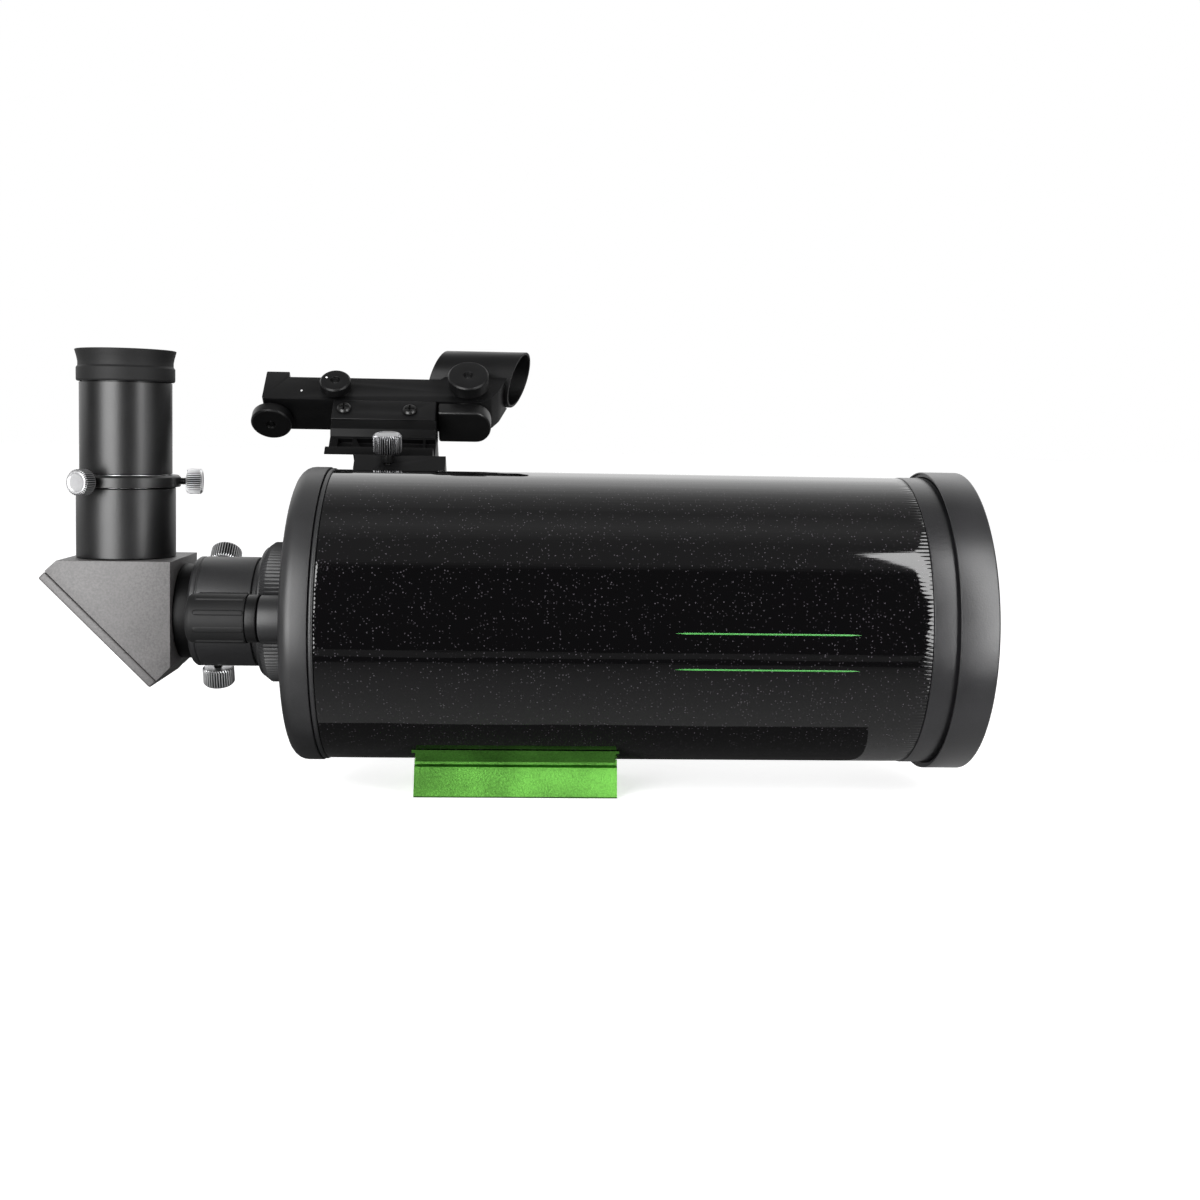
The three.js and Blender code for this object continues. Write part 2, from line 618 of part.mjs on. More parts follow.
function battery() {
  const half = 9.2;
  const bottom = 104.8;
  const ceiling = ARM_Z[0] - GAP;
  const nose = arc([-21.5, 0], 7, -90, 90, 6).map(([x, y]) => [x, y * half / 7]);
  const outline = [[-38.2, -half], ...nose, [-38.2, half]];
  const box = extruded(outline, ceiling - bottom).translate(0, 0, bottom);
  const well = rod(8.3, bottom + 1.6, ceiling + 1, ROUND).translate(BATTERY_X, 0, 0);
  piece(finder, 'battery_cover', cut(box, well), plastic);
  const cell = rod(8, bottom + 1.9, bottom + 5.1, ROUND).translate(BATTERY_X, 0, 0);
  piece(finder, 'battery_cell', cell, steel);
}

// The two side knobs turn about the finder's y, the lower one about its z.
const KNOBS = [
  { name: 'brightness_knob', axis: 'side', x: -84.1, at: 118, radius: 6.85, span: [11.3, 16] },
  { name: 'azimuth_knob', axis: 'side', x: -24.8, at: 119.6, radius: 9.15, span: [12.6, 19] },
  { name: 'altitude_knob', axis: 'below', x: -113, at: 1, radius: 9, span: [106, 111.3] },
];

function knob({ name, axis, x, at, radius, span: [near, far] }) {
  if (axis === 'side') {
    const shape = turned([
      [0, 7.4], [3, 7.4], [3, near], [radius - 0.5, near], [radius, near + 0.5],
      [radius, far - 0.6], [radius - 0.6, far], [2, far], [2, far - 1.2], [0, far - 1.2],
    ], ROUND);
    piece(finder, name, shape.rotateX(Math.PI / 2).translate(x, 0, at), plastic);
    return;
  }
  const shape = turned([
    [0, near + 1.2], [2, near + 1.2], [2, near], [radius - 0.6, near], [radius, near + 0.6],
    [radius, far - 0.4], [radius - 0.4, far], [3, far], [3, 114.4], [0, 114.4],
  ], ROUND);
  piece(finder, name, shape.translate(x, at, 0), plastic);
}

// ---------------------------------------------------------------- assembly

tube();
rearCell();
collimationScrews();
frontCell();
dustCap();
corrector();
primary();
focuser();
visualBack();
diagonal();
eyepieceHolder();
eyepiece();
thumbScrews();
dovetail();
shoe();
finderBase();
finderCarriage();
finderArm();
finderHood();
battery();
KNOBS.forEach(knob);

export default telescope;
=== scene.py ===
"""A 102 mm Maksutov-Cassegrain telescope on a plain pale floor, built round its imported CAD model."""

import json
import math

import bmesh
import bpy
from mathutils import Matrix, Vector

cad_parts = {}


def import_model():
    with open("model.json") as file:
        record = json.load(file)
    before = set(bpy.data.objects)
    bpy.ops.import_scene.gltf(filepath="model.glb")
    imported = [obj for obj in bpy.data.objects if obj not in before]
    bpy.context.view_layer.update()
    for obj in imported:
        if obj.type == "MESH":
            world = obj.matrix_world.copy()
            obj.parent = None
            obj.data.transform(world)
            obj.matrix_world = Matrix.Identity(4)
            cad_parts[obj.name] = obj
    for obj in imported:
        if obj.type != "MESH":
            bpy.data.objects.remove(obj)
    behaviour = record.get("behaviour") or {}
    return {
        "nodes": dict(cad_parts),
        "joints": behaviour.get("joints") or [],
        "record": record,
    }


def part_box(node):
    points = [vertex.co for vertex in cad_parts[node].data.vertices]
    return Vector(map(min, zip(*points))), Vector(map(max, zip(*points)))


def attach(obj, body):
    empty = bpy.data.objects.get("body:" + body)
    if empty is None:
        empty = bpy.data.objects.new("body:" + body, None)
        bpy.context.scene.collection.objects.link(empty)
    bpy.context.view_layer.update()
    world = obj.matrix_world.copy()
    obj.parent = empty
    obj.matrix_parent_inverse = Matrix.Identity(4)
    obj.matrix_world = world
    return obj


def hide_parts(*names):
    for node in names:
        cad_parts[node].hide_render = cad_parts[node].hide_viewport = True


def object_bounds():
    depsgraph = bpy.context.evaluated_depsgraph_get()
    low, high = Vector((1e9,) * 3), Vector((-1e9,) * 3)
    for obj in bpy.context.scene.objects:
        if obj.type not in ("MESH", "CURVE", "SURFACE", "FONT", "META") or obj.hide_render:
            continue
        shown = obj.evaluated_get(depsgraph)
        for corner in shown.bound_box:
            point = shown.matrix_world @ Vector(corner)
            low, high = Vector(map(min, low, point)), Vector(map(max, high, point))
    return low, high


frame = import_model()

cad_low, cad_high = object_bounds()

MM = 0.001
NODES = frame["nodes"]
JOINTS = {joint["name"]: joint for joint in frame["joints"]}
SLOTS = {row["node"]: row["material_slot"] for row in frame["record"]["subparts"]}

# In millimetres, as every measure in a local frame is.
TUBE_RADIUS = 57.0
TUBE_BORE = 55.3
SEAT_RADIUS = 57.3
SOCKET_RADIUS = 16.1
LIGHT_PORT_RADIUS = 13.8
STUD_HOLE_RADIUS = 1.8
LENS_BACK_CURVE = 132

SHARP_ANGLE = math.radians(34)


# ---------------------------------------------------------------- places

def place(origin, z, x):
    """Matrix from a local frame in millimetres to the row frame in metres."""
    z = Vector(z).normalized()
    x = (Vector(x) - z * z.dot(Vector(x))).normalized()
    turn = Matrix((x, z.cross(x), z)).transposed().to_4x4()
    return Matrix.Translation(Vector(origin)) @ turn @ Matrix.Scale(MM, 4)


def middle(node):
    low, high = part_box(node)
    return (Vector(low) + Vector(high)) / 2


def extent(node, where):
    """Lowest and highest corner of a CAD node in a local frame, in millimetres."""
    inverse = where.inverted()
    points = [inverse @ vertex.co for vertex in NODES[node].data.vertices]
    low = Vector([min(point[i] for point in points) for i in range(3)])
    high = Vector([max(point[i] for point in points) for i in range(3)])
    return low, high


AXIS_Z = middle("optical_tube").z
UP, AHEAD, ACROSS = (0, 0, 1), (1, 0, 0), (0, 1, 0)

# Local z along the telescope, local y up.
AXIAL = place((0, 0, AXIS_Z), z=AHEAD, x=ACROSS)
EYEPIECE = place((middle("eyepiece_body").x, 0, AXIS_Z), z=UP, x=AHEAD)
FOCUS = place((0, middle("focus_knob").y, middle("focus_knob").z), z=AHEAD, x=ACROSS)
FINDER = place((0, 0, AXIS_Z), z=JOINTS["finder_azimuth"]["axis"], x=AHEAD)

# From a section in a frame's x and z, extruded towards -y.
SIDEWAYS = Matrix.Rotation(math.pi / 2, 4, "X")
# From a section in a frame's y and z, extruded along x.
ENDWAYS = Matrix(((0, 0, 1, 0), (1, 0, 0, 0), (0, 1, 0, 0), (0, 0, 0, 1)))
# From a frame whose local z is up to one whose local z is ahead.
TO_AHEAD = Matrix.Rotation(math.pi / 2, 4, "Y")

UPRIGHT = place((0, 0, AXIS_Z), z=UP, x=AHEAD)
FINDER_SIDE = FINDER @ SIDEWAYS
FINDER_END = FINDER @ ENDWAYS


# ---------------------------------------------------------------- meshes

def rounded(corners, radius, closed=True):
    """Replaces each corner by an arc. A corner may carry its own radius as a third number."""
    straight = math.radians(88)
    arc_step = math.radians(16)
    points = []
    count = len(corners)
    for i, corner in enumerate(corners):
        here = Vector(corner[:2])
        size = corner[2] if len(corner) > 2 else radius
        if not closed and i in (0, count - 1) or size <= 0:
            points.append(here)
            continue
        back = Vector(corners[i - 1][:2]) - here
        ahead = Vector(corners[(i + 1) % count][:2]) - here
        room = 0.48 * min(back.length, ahead.length)
        half = back.angle(ahead) / 2
        if half > straight or room < 1e-6:
            points.append(here)
            continue
        reach = min(size / math.tan(half), room)
        size = reach * math.tan(half)
        back.normalize()
        ahead.normalize()
        centre = here + (back + ahead).normalized() * (size / math.sin(half))
        start = here + back * reach - centre
        sweep = start.angle_signed(here + ahead * reach - centre)
        steps = max(1, math.ceil(abs(sweep) / arc_step))
        for step in range(steps + 1):
            spin = Matrix.Rotation(-sweep * step / steps, 2)
            points.append(centre + spin @ start)
    return points


def new_piece(name, bm, where):
    """Mesh object from a bmesh in a local frame, shaded smooth apart from its sharp edges."""
    bmesh.ops.recalc_face_normals(bm, faces=bm.faces)
    mesh = bpy.data.meshes.new(name)
    bm.to_mesh(mesh)
    bm.free()
    mesh.transform(where)
    piece = bpy.data.objects.new(name, mesh)
    bpy.context.scene.collection.objects.link(piece)
    smooth(mesh)
    return piece


def smooth(mesh):
    mesh.polygons.foreach_set("use_smooth", [True] * len(mesh.polygons))
    mesh.set_sharp_from_angle(angle=SHARP_ANGLE)
    mesh.update()


def lathe(name, corners, where, sides=128, soft=0.3, relief=None):
    """Solid of revolution about local z. relief(radius, z, angle) gives a point's own radius.

    The vertex attribute "groove" is 0 on the plain surface and 1 where it is cut full_groove deep.
    """
    full_groove = 0.5
    on_axis = corners[0][0] == 0
    profile = rounded(corners, soft, closed=not on_axis)
    bm = bmesh.new()
    groove = bm.verts.layers.float.new("groove")
    rings = []
    for radius, z in profile:
        if radius < 1e-5:
            rings.append([bm.verts.new((0, 0, z))] * sides)
            continue
        ring = []
        for i in range(sides):
            angle = 2 * math.pi * i / sides
            r = relief(radius, z, angle) if relief else radius
            vertex = bm.verts.new((r * math.cos(angle), r * math.sin(angle), z))
            vertex[groove] = min(1.0, (radius - r) / full_groove)
            ring.append(vertex)
        rings.append(ring)
    pairs = list(zip(rings, rings[1:]))
    if not on_axis:
        pairs.append((rings[-1], rings[0]))
    for a, b in pairs:
        for i in range(sides):
            j = (i + 1) % sides
            quad = list(dict.fromkeys((a[i], a[j], b[j], b[i])))
            if len(quad) > 2:
                bm.faces.new(quad)
    return new_piece(name, bm, where)


def from_low(node, where, corners):
    """Profile corners whose heights are counted from the node's lower end."""
    low = extent(node, where)[0].z
    return [(corner[0], corner[1] + low, *corner[2:]) for corner in corners]


def prism(name, outline, where, depth, soft=0):
    """Outline in local x and y, extruded along local z between the two depths."""
    points = rounded(outline, soft) if soft else [Vector(corner[:2]) for corner in outline]
    bm = bmesh.new()
    near = [bm.verts.new((point.x, point.y, depth[0])) for point in points]
    far = [bm.verts.new((point.x, point.y, depth[1])) for point in points]
    bm.faces.new(near)
    bm.faces.new(far)
    for i in range(len(points)):
        j = (i + 1) % len(points)
        bm.faces.new((near[i], near[j], far[j], far[i]))
    return new_piece(name, bm, where)


def block(name, low, high, where):
    outline = [(low[0], low[1]), (high[0], low[1]), (high[0], high[1]), (low[0], high[1])]
    return prism(name, outline, where, (low[2], high[2]))


def rod(name, radius, z0, z1, where, sides=96):
    return lathe(name, [(0, z0), (radius, z0), (radius, z1), (0, z1)], where, sides, soft=0)


def settle(piece):
    """Replaces a piece's mesh by what its modifiers make of it."""
    graph = bpy.context.evaluated_depsgraph_get()
    mesh = bpy.data.meshes.new_from_object(piece.evaluated_get(graph))
    piece.modifiers.clear()
    piece.data = mesh
    smooth(mesh)


def worked(piece, cuts=(), adds=(), bevel=0.4, steps=3):
    """Adds and cuts away the other solids, then rounds the sharp edges."""
    for tools, operation in ((adds, "UNION"), (cuts, "DIFFERENCE")):
        for tool in tools:
            modifier = piece.modifiers.new(operation, "BOOLEAN")
            modifier.operation = operation
            modifier.solver = "EXACT"
            modifier.object = tool
    if bevel:
        modifier = piece.modifiers.new("edges", "BEVEL")
        modifier.width = bevel * MM
        modifier.segments = steps
        modifier.limit_method = "ANGLE"
        modifier.angle_limit = SHARP_ANGLE
    settle(piece)
    for tool in (*cuts, *adds):
        bpy.data.objects.remove(tool)
    return piece


# ---------------------------------------------------------------- materials

class Nodes:
    """Short calls that add to a node tree. A value is either a number or another node's output."""

    def __init__(self, tree):
        self.tree = tree

    def node(self, kind, values=None, **settings):
        node = self.tree.nodes.new(kind)
        for key, value in settings.items():
            setattr(node, key, value)
        for key, value in (values or {}).items():
            if isinstance(value, bpy.types.NodeSocket):
                self.tree.links.new(value, node.inputs[key])
            else:
                node.inputs[key].default_value = value
        return node

    def math(self, operation, *values):
        return self.node("ShaderNodeMath", dict(enumerate(values)), operation=operation).outputs[0]

    def apart(self, vector):
        return self.node("ShaderNodeSeparateXYZ", {0: vector}).outputs

    def ranged(self, value, low, high, to_low, to_high):
        values = {0: value, 1: low, 2: high, 3: to_low, 4: to_high}
        return self.node("ShaderNodeMapRange", values).outputs[0]

    def blend(self, factor, a, b, blend_type="MIX"):
        values = {0: factor, 6: a, 7: b}
        return self.node("ShaderNodeMix", values, data_type="RGBA", blend_type=blend_type).outputs[2]


class Finish(Nodes):
    """A Principled material, with calls that add its grain and its variation of colour."""

    def __init__(self, name, color, roughness, metallic=0.0, **inputs):
        self.material = bpy.data.materials.new(name)
        self.material.use_nodes = True
        super().__init__(self.material.node_tree)
        self.shader = self.tree.nodes["Principled BSDF"]
        self.color = (*color, 1)
        self.roughness = roughness
        self.shader.inputs["Base Color"].default_value = self.color
        self.shader.inputs["Roughness"].default_value = roughness
        self.shader.inputs["Metallic"].default_value = metallic
        for socket, value in inputs.items():
            self.shader.inputs[socket.replace("_", " ")].default_value = value
        self.where = self.node("ShaderNodeTexCoord").outputs["Object"]

    def link(self, output, socket):
        self.tree.links.new(output, self.shader.inputs[socket])

    def noise(self, scale, detail=2.0, rough=0.5):
        values = {"Vector": self.where, "Scale": scale, "Detail": detail, "Roughness": rough}
        return self.node("ShaderNodeTexNoise", values).outputs["Fac"]

    def bumps(self, height, strength, distance, before=None):
        values = {"Strength": strength, "Distance": distance, "Height": height}
        if before is not None:
            values["Normal"] = before
        return self.node("ShaderNodeBump", values).outputs["Normal"]

    def grain(self, scale, strength, distance=0.0001):
        """Fine cast or moulded texture."""
        normal = self.bumps(self.noise(scale, 3.0, 0.6), strength, distance)
        self.link(normal, "Normal")
        return self

    def mottled(self, scale, spread=0.25):
        """Colour and roughness that vary a little from place to place."""
        fine = self.noise(scale, 3.0, 0.6)
        broad = self.noise(scale / 40, 2.0)
        factor = self.ranged(self.math("ADD", fine, broad), 0.75, 1.25, 0.0, 1.0)
        dark = tuple(c * (1 - spread) for c in self.color[:3]) + (1,)
        light = tuple(c * (1 + spread) for c in self.color[:3]) + (1,)
        self.link(self.blend(factor, dark, light), "Base Color")
        rough = self.ranged(broad, 0.35, 0.65, self.roughness * 0.93, self.roughness * 1.07)
        self.link(rough, "Roughness")
        return self

    def painted_groove_shade(self):
        """Painted shade: darker in the grooves that a lathe's relief cuts, standing in for the shade that
        falls in them.
        """
        depth = self.node("ShaderNodeAttribute", attribute_name="groove").outputs["Fac"]
        plain = self.shader.inputs["Base Color"].links[0].from_socket
        # Painted shade: the base colour blends towards near black by each groove's depth.
        self.link(self.blend(depth, plain, (0.02, 0.02, 0.02, 1)), "Base Color")
        return self


def tube_paint():
    """Black gloss with small metal flakes under a clear coat."""
    finish = Finish("tube_paint", (0.0013, 0.0012, 0.0014), 0.4, Coat_Weight=1.0, Coat_Roughness=0.045,
                    Specular_IOR_Level=0.0)
    flakes = finish.node("ShaderNodeTexVoronoi", {"Vector": finish.where, "Scale": 880.0})
    shade = finish.node("ShaderNodeSeparateColor", {0: flakes.outputs["Color"]}).outputs[0]
    rare = finish.ranged(shade, 0.35, 1.0, 0.0, 1.0)
    small = finish.ranged(flakes.outputs["Distance"], 0.28, 0.16, 0.0, 1.0)
    flake = finish.math("MULTIPLY", rare, small)
    finish.link(finish.blend(flake, finish.color, (0.05, 0.045, 0.052, 1)), "Base Color")
    finish.link(coat_ripple(finish), "Coat Normal")
    return finish


def coat_ripple(finish):
    """Faint lengthwise streaks, and a comb of short ones where the coat meets the tube's two ends."""
    teeth = 224
    front_reach, rear_reach = 0.006, 0.0008
    streak_depth, comb_depth = 0.00002, 0.00012
    low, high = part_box("optical_tube")
    parts = finish.apart(finish.where)
    drawn_out = {"Vector": finish.where, "Scale": (0.02, 1.0, 1.0)}
    flat = finish.node("ShaderNodeMapping", drawn_out).outputs[0]

    angle = finish.math("ARCTAN2", finish.math("SUBTRACT", parts[2], middle("optical_tube").z), parts[1])
    wave = finish.math("SINE", finish.math("MULTIPLY", angle, teeth))
    uneven = finish.node("ShaderNodeTexNoise", {"Vector": flat, "Scale": 170.0}).outputs["Fac"]
    lengths = finish.ranged(uneven, 0.3, 0.7, 0.5, 1.7)
    comb = finish.math("MULTIPLY", finish.math("MULTIPLY_ADD", wave, 0.55, 1.0), lengths)

    front = finish.math("POWER", finish.ranged(parts[0], high[0] - front_reach, high[0], 0.0, 1.0), 2.0)
    rear = finish.math("POWER", finish.ranged(parts[0], low[0] + rear_reach, low[0], 0.0, 0.4), 2.0)
    ends = finish.math("ADD", front, rear)
    height = finish.math("MULTIPLY", ends, finish.math("MULTIPLY", comb, -1.0))

    streaks = finish.node("ShaderNodeTexNoise", {"Vector": flat, "Scale": 700.0}).outputs["Fac"]
    return finish.bumps(height, 1.0, comb_depth, before=finish.bumps(streaks, 1.0, streak_depth))


def make_finishes():
    made = {
        "tube_paint": tube_paint(),
        "cell_paint": Finish("cell_paint", (0.0075, 0.0075, 0.0082), 0.48, Specular_IOR_Level=0.6)
        .mottled(1800.0, 0.4).grain(1500.0, 0.55, 0.00006),
        "cap_plastic": Finish("cap_plastic", (0.007, 0.0068, 0.0078), 0.33, Specular_IOR_Level=0.62)
        .mottled(1800.0, 0.4).grain(1500.0, 0.55, 0.00006),
        "diagonal_paint": Finish("diagonal_paint", (0.063, 0.06, 0.06), 0.5, Specular_IOR_Level=0.6)
        .mottled(1300.0, 0.4).grain(1300.0, 0.6, 0.00008),
        "black_anodised": Finish("black_anodised", (0.0032, 0.0032, 0.0034), 0.36)
        .mottled(1300.0, 0.5).grain(1300.0, 0.35, 0.00006),
        "green_anodised": Finish("green_anodised", (0.105, 0.31, 0.05), 0.42, 0.95)
        .mottled(1500.0, 0.35).grain(1500.0, 0.9),
        "black_plastic": Finish("black_plastic", (0.0026, 0.0026, 0.0028), 0.42, Specular_IOR_Level=0.26)
        .mottled(2400.0).grain(3000.0, 0.25),
        "battery_plastic": Finish("battery_plastic", (0.003, 0.003, 0.0031), 0.36)
        .mottled(2400.0).grain(3000.0, 0.1),
        # Painted shade: a darker, duller copy of black_plastic. It is partly a duller plastic and partly the
        # shade round the finder base and the diagonal's nosepiece, painted into its colour.
        "painted_shade_plastic": Finish("painted_shade_plastic", (0.0012, 0.0012, 0.0013), 0.45, Specular_IOR_Level=0.12)
        .mottled(2400.0).grain(3000.0, 0.2),
        # A darker copy of chrome_metal, used for the shoe screw's head.
        "darker_chrome": Finish("darker_chrome", (0.33, 0.33, 0.34), 0.27, 1.0)
        .mottled(900.0, 0.1).grain(2600.0, 0.1).painted_groove_shade(),
        "black_rubber": Finish("black_rubber", (0.005, 0.005, 0.0052), 0.6, Specular_IOR_Level=0.25)
        .mottled(1800.0).grain(2400.0, 0.2),
        "chrome_metal": Finish("chrome_metal", (0.72, 0.72, 0.73), 0.36, 1.0)
        .mottled(900.0, 0.06).grain(2600.0, 0.1).painted_groove_shade(),
        "zinc_steel": Finish("zinc_steel", (0.2, 0.2, 0.21), 0.36, 1.0)
        .mottled(1500.0, 0.15).grain(3000.0, 0.1),
        "optical_glass": Finish("optical_glass", (0.92, 0.97, 0.95), 0.02, Transmission_Weight=1.0, IOR=1.52)
        .grain(40.0, 0.002),
        "mirror_coating": Finish("mirror_coating", (0.9, 0.9, 0.9), 0.03, 1.0)
        .grain(60.0, 0.002),
        "red_led": Finish("red_led", (0.5, 0.02, 0.02), 0.2)
        .mottled(900.0),
        "blackened_screw": Finish("blackened_screw", (0.03, 0.03, 0.03), 0.3, 0.8)
        .mottled(2000.0).grain(2600.0, 0.15),
        "white_print": Finish("white_print", (0.75, 0.75, 0.75), 0.5)
        .mottled(4000.0, 0.05),
        "green_print": Finish("green_print", (0.045, 0.22, 0.045), 0.4, Coat_Weight=0.3)
        .mottled(4000.0, 0.1),
    }
    return {name: finish.material for name, finish in made.items()}


MATERIALS = make_finishes()


def dress(piece, material, body, nodes=()):
    """Gives a new piece its material, its body and the CAD nodes it stands for."""
    piece.data.materials.clear()
    piece.data.materials.append(MATERIALS[material])
    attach(piece, body)
    if nodes:
        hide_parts(*nodes)
    return piece


def stand_in(node, piece, body="tube_assembly", material=None):
    """Dresses a piece that replaces the one CAD node that it is named after."""
    return dress(piece, material or SLOTS[node], body, [node])


# ---------------------------------------------------------------- tube and cells

def tube():
    """The tube, drawn in a little over its front end, and the seam ring behind it."""
    low, high = extent("optical_tube", AXIAL)
    roll = 8.0
    dip = 0.05
    steps = 8
    outer = [(TUBE_RADIUS, low.z, 0), (TUBE_RADIUS, low.z + 1, 0)]
    for i in range(steps + 1):
        step = i / steps
        outer.append((TUBE_RADIUS - dip * step ** 2, high.z - roll * (1 - step), 0))
    corners = [(TUBE_BORE, low.z, 0.1), *outer, (TUBE_BORE, high.z, 0.1)]
    stand_in("optical_tube", lathe("tube", corners, AXIAL, sides=256))

    bead = from_low("tube_seam_ring", AXIAL, [
        (TUBE_BORE, 0), (57.4, 0, 0.8), (57.4, 1.8, 0.8), (TUBE_BORE, 1.8),
    ])
    stand_in("tube_seam_ring", lathe("seam_ring", bead, AXIAL, sides=256))


def pinstripes():
    """Two plain green lines on the tube's near side, each drawn out to a point at both ends."""
    end = extent("optical_tube", AXIAL)[1].z - 26.4
    length, point = 68.0, 4.0
    half_width, half_tip = 0.33, 0.03
    section = ((-0.02, -1), (0.05, -0.6), (0.05, 0.6), (-0.02, 1))
    for name, degrees in (("pinstripe_upper", 1.2), ("pinstripe_lower", -12.4)):
        middle_angle = math.radians(180 - degrees)
        bm = bmesh.new()
        loops = []
        for along, half in ((0, half_tip), (point, half_width), (length - point, half_width),
                            (length, half_tip)):
            z = end - length + along
            loop = []
            for rise, side in section:
                angle = middle_angle + side * half / TUBE_RADIUS
                r = TUBE_RADIUS + rise
                loop.append(bm.verts.new((r * math.cos(angle), r * math.sin(angle), z)))
            loops.append(loop)
        for a, b in zip(loops, loops[1:]):
            for i in range(4):
                bm.faces.new((a[i], a[(i + 1) % 4], b[(i + 1) % 4], b[i]))
        bm.faces.new(loops[0])
        bm.faces.new(loops[-1])
        dress(new_piece(name, bm, AXIAL), "green_print", "tube_assembly")


def on_axis_of(node):
    """Frame like AXIAL, but centred on the node's own axis."""
    centre = middle(node)
    return place((0, centre.y, centre.z), z=AHEAD, x=ACROSS)


def rear_cell():
    corners = from_low("rear_cell", AXIAL, [
        (53.6, 20, 0.2), (54.9, 20, 0.2), (54.9, 11, 0), (57.8, 11, 0.35), (57.8, 0, 6), (19.5, 0, 0.4),
        (19.5, 2.8, 0), (50, 2.8, 1), (53.6, 6.4, 1),
    ])
    shell = lathe("rear_cell_shell", corners, AXIAL, sides=256)
    cuts = [rod("bush_hole", 6.3, -100, -80, on_axis_of("focus_bush"), 64)]
    for i in (1, 2, 3):
        cuts.append(rod("screw_hole", 2.8, -100, -80, on_axis_of(f"collimation_screw_{i}"), 48))
    stand_in("rear_cell", worked(shell, cuts, bevel=0.25, steps=2))


def front_cell():
    corners = from_low("front_cell", AXIAL, [
        (50.9, 0), (54.9, 0), (54.9, 9.3, 0), (57.2, 9.3, 0.35), (57.2, 26.6), (56.6, 27.2),
        (52.4, 27.2), (52.4, 12.2, 0), (50.9, 12.2),
    ])
    stand_in("front_cell", lathe("front_cell_ring", corners, AXIAL, sides=256), material="cap_plastic")
    ring = from_low("lens_retaining_ring", AXIAL, [(50.4, 0), (52.1, 0), (52.1, 3.2), (50.4, 3.2)])
    stand_in("lens_retaining_ring", lathe("retaining_ring", ring, AXIAL, sides=256))


def sag(radius, curve):
    """Depth of a spherical surface at a radius from its axis."""
    return curve - math.sqrt(curve ** 2 - radius ** 2)


def corrector():
    """Meniscus lens, hollow towards the front, with the secondary mirror and its baffle behind it."""
    front_curve, rim_thickness, mirror_thickness = 128, 9, 0.6
    high = extent("meniscus_lens", AXIAL)[1]
    rim, top = high.x, high.z
    steps = [rim * i / 26 for i in range(27)]
    back = top - rim_thickness - sag(rim, LENS_BACK_CURVE)
    front = top - sag(rim, front_curve)
    lens = [(r, back + sag(r, LENS_BACK_CURVE), 0) for r in steps]
    lens += [(r, front + sag(r, front_curve), 0) for r in reversed(steps)]
    stand_in("meniscus_lens", lathe("meniscus", lens, AXIAL, sides=256))

    low, high = extent("secondary_spot", AXIAL)
    steps = [high.x * i / 8 for i in range(9)]
    spot = [(r, low.z + sag(r, LENS_BACK_CURVE), 0) for r in steps]
    spot += [(r, low.z + mirror_thickness + sag(r, LENS_BACK_CURVE), 0) for r in reversed(steps)]
    stand_in("secondary_spot", lathe("secondary_mirror", spot, AXIAL))
    baffle = from_low("secondary_baffle", AXIAL, [(18, 0), (19, 0), (16.2, 15.5), (14.4, 15.5)])
    stand_in("secondary_baffle", lathe("secondary_cone", baffle, AXIAL, soft=0.1))


def primary_mirror():
    low, high = extent("primary_mirror", AXIAL)
    hole, edge_thickness = 21.2, 10.5
    depth = high.z - low.z - edge_thickness
    curve = (high.x ** 2 + depth ** 2) / (2 * depth)
    steps = [hole + (high.x - hole) * i / 20 for i in range(21)]
    face = [(r, low.z + edge_thickness + sag(r, curve), 0) for r in reversed(steps)]
    corners = [(hole, low.z, 0), (high.x, low.z, 0), *face]
    stand_in("primary_mirror", lathe("primary", corners, AXIAL, sides=256), "primary_cell")


def dust_cap():
    corners = from_low("dust_cap", AXIAL, [
        (0, 12.8), (55.6, 12.8, 1), (57.6, 10.8, 1), (57.6, 0.9, 0.1), (58.9, 0.9, 0.1), (58.9, 0, 0.1),
        (59.5, 0, 0.3), (59.5, 14.7, 0.9), (47, 14.7, 0.6), (46.2, 14.1, 0.6), (0, 14.1),
    ])
    stand_in("dust_cap", lathe("cap", corners, AXIAL, sides=256), "dust_cap")


# ---------------------------------------------------------------- focuser, rear port and visual back

def focuser():
    bush = from_low("focus_bush", FOCUS, [
        (3, 0), (8.7, 0, 0.6), (8.7, 8.6, 0.2), (6, 8.6, 0), (6, 10.9), (3, 10.9),
    ])
    stand_in("focus_bush", lathe("bush", bush, FOCUS))
    knob = from_low("focus_knob", FOCUS, [
        (0, 2.4), (2.8, 2.4, 0), (2.8, 24.6), (8.9, 24.6, 0.5), (8.9, 20.6, 0.2), (8, 20.6, 0), (8, 0),
        (0, 0),
    ])
    stand_in("focus_knob", lathe("knob_core", knob, FOCUS), "focus_control")

    focus_grip()


def focus_grip():
    low = extent("focus_grip", FOCUS)[0].z
    first, last = low + 4.0, low + 20.4
    ridges = 9
    half_width, slope, rise = 1.05, 0.45, 0.4

    def ribbed(radius, z, angle):
        """Long raised ribs with round ends."""
        if radius < 9.1:
            return radius
        turn = (angle * ridges / (2 * math.pi)) % 1.0
        across = min(turn, 1.0 - turn) * 2 * math.pi * radius / ridges
        along = max(first - z, 0.0, z - last)
        step = min(1.0, max(0.0, (half_width - math.hypot(across, along)) / slope))
        return radius + rise * step * step * (3 - 2 * step)

    steps = [(9.15, low + 21.2 - 0.35 * i, 0) for i in range(1, 55)]
    grip = [
        (8.3, low + 21.4, 0.1), (9.1, low + 21.4, 0.2), *steps, (9.1, low + 1.6, 0.6),
        (8.5, low, 0.9), (5, low, 0.3), (5, low + 0.8, 0.2), (8.3, low + 0.8, 0),
    ]
    piece = lathe("grip", grip, FOCUS, sides=360, relief=ribbed)
    stand_in("focus_grip", piece, "focus_control")


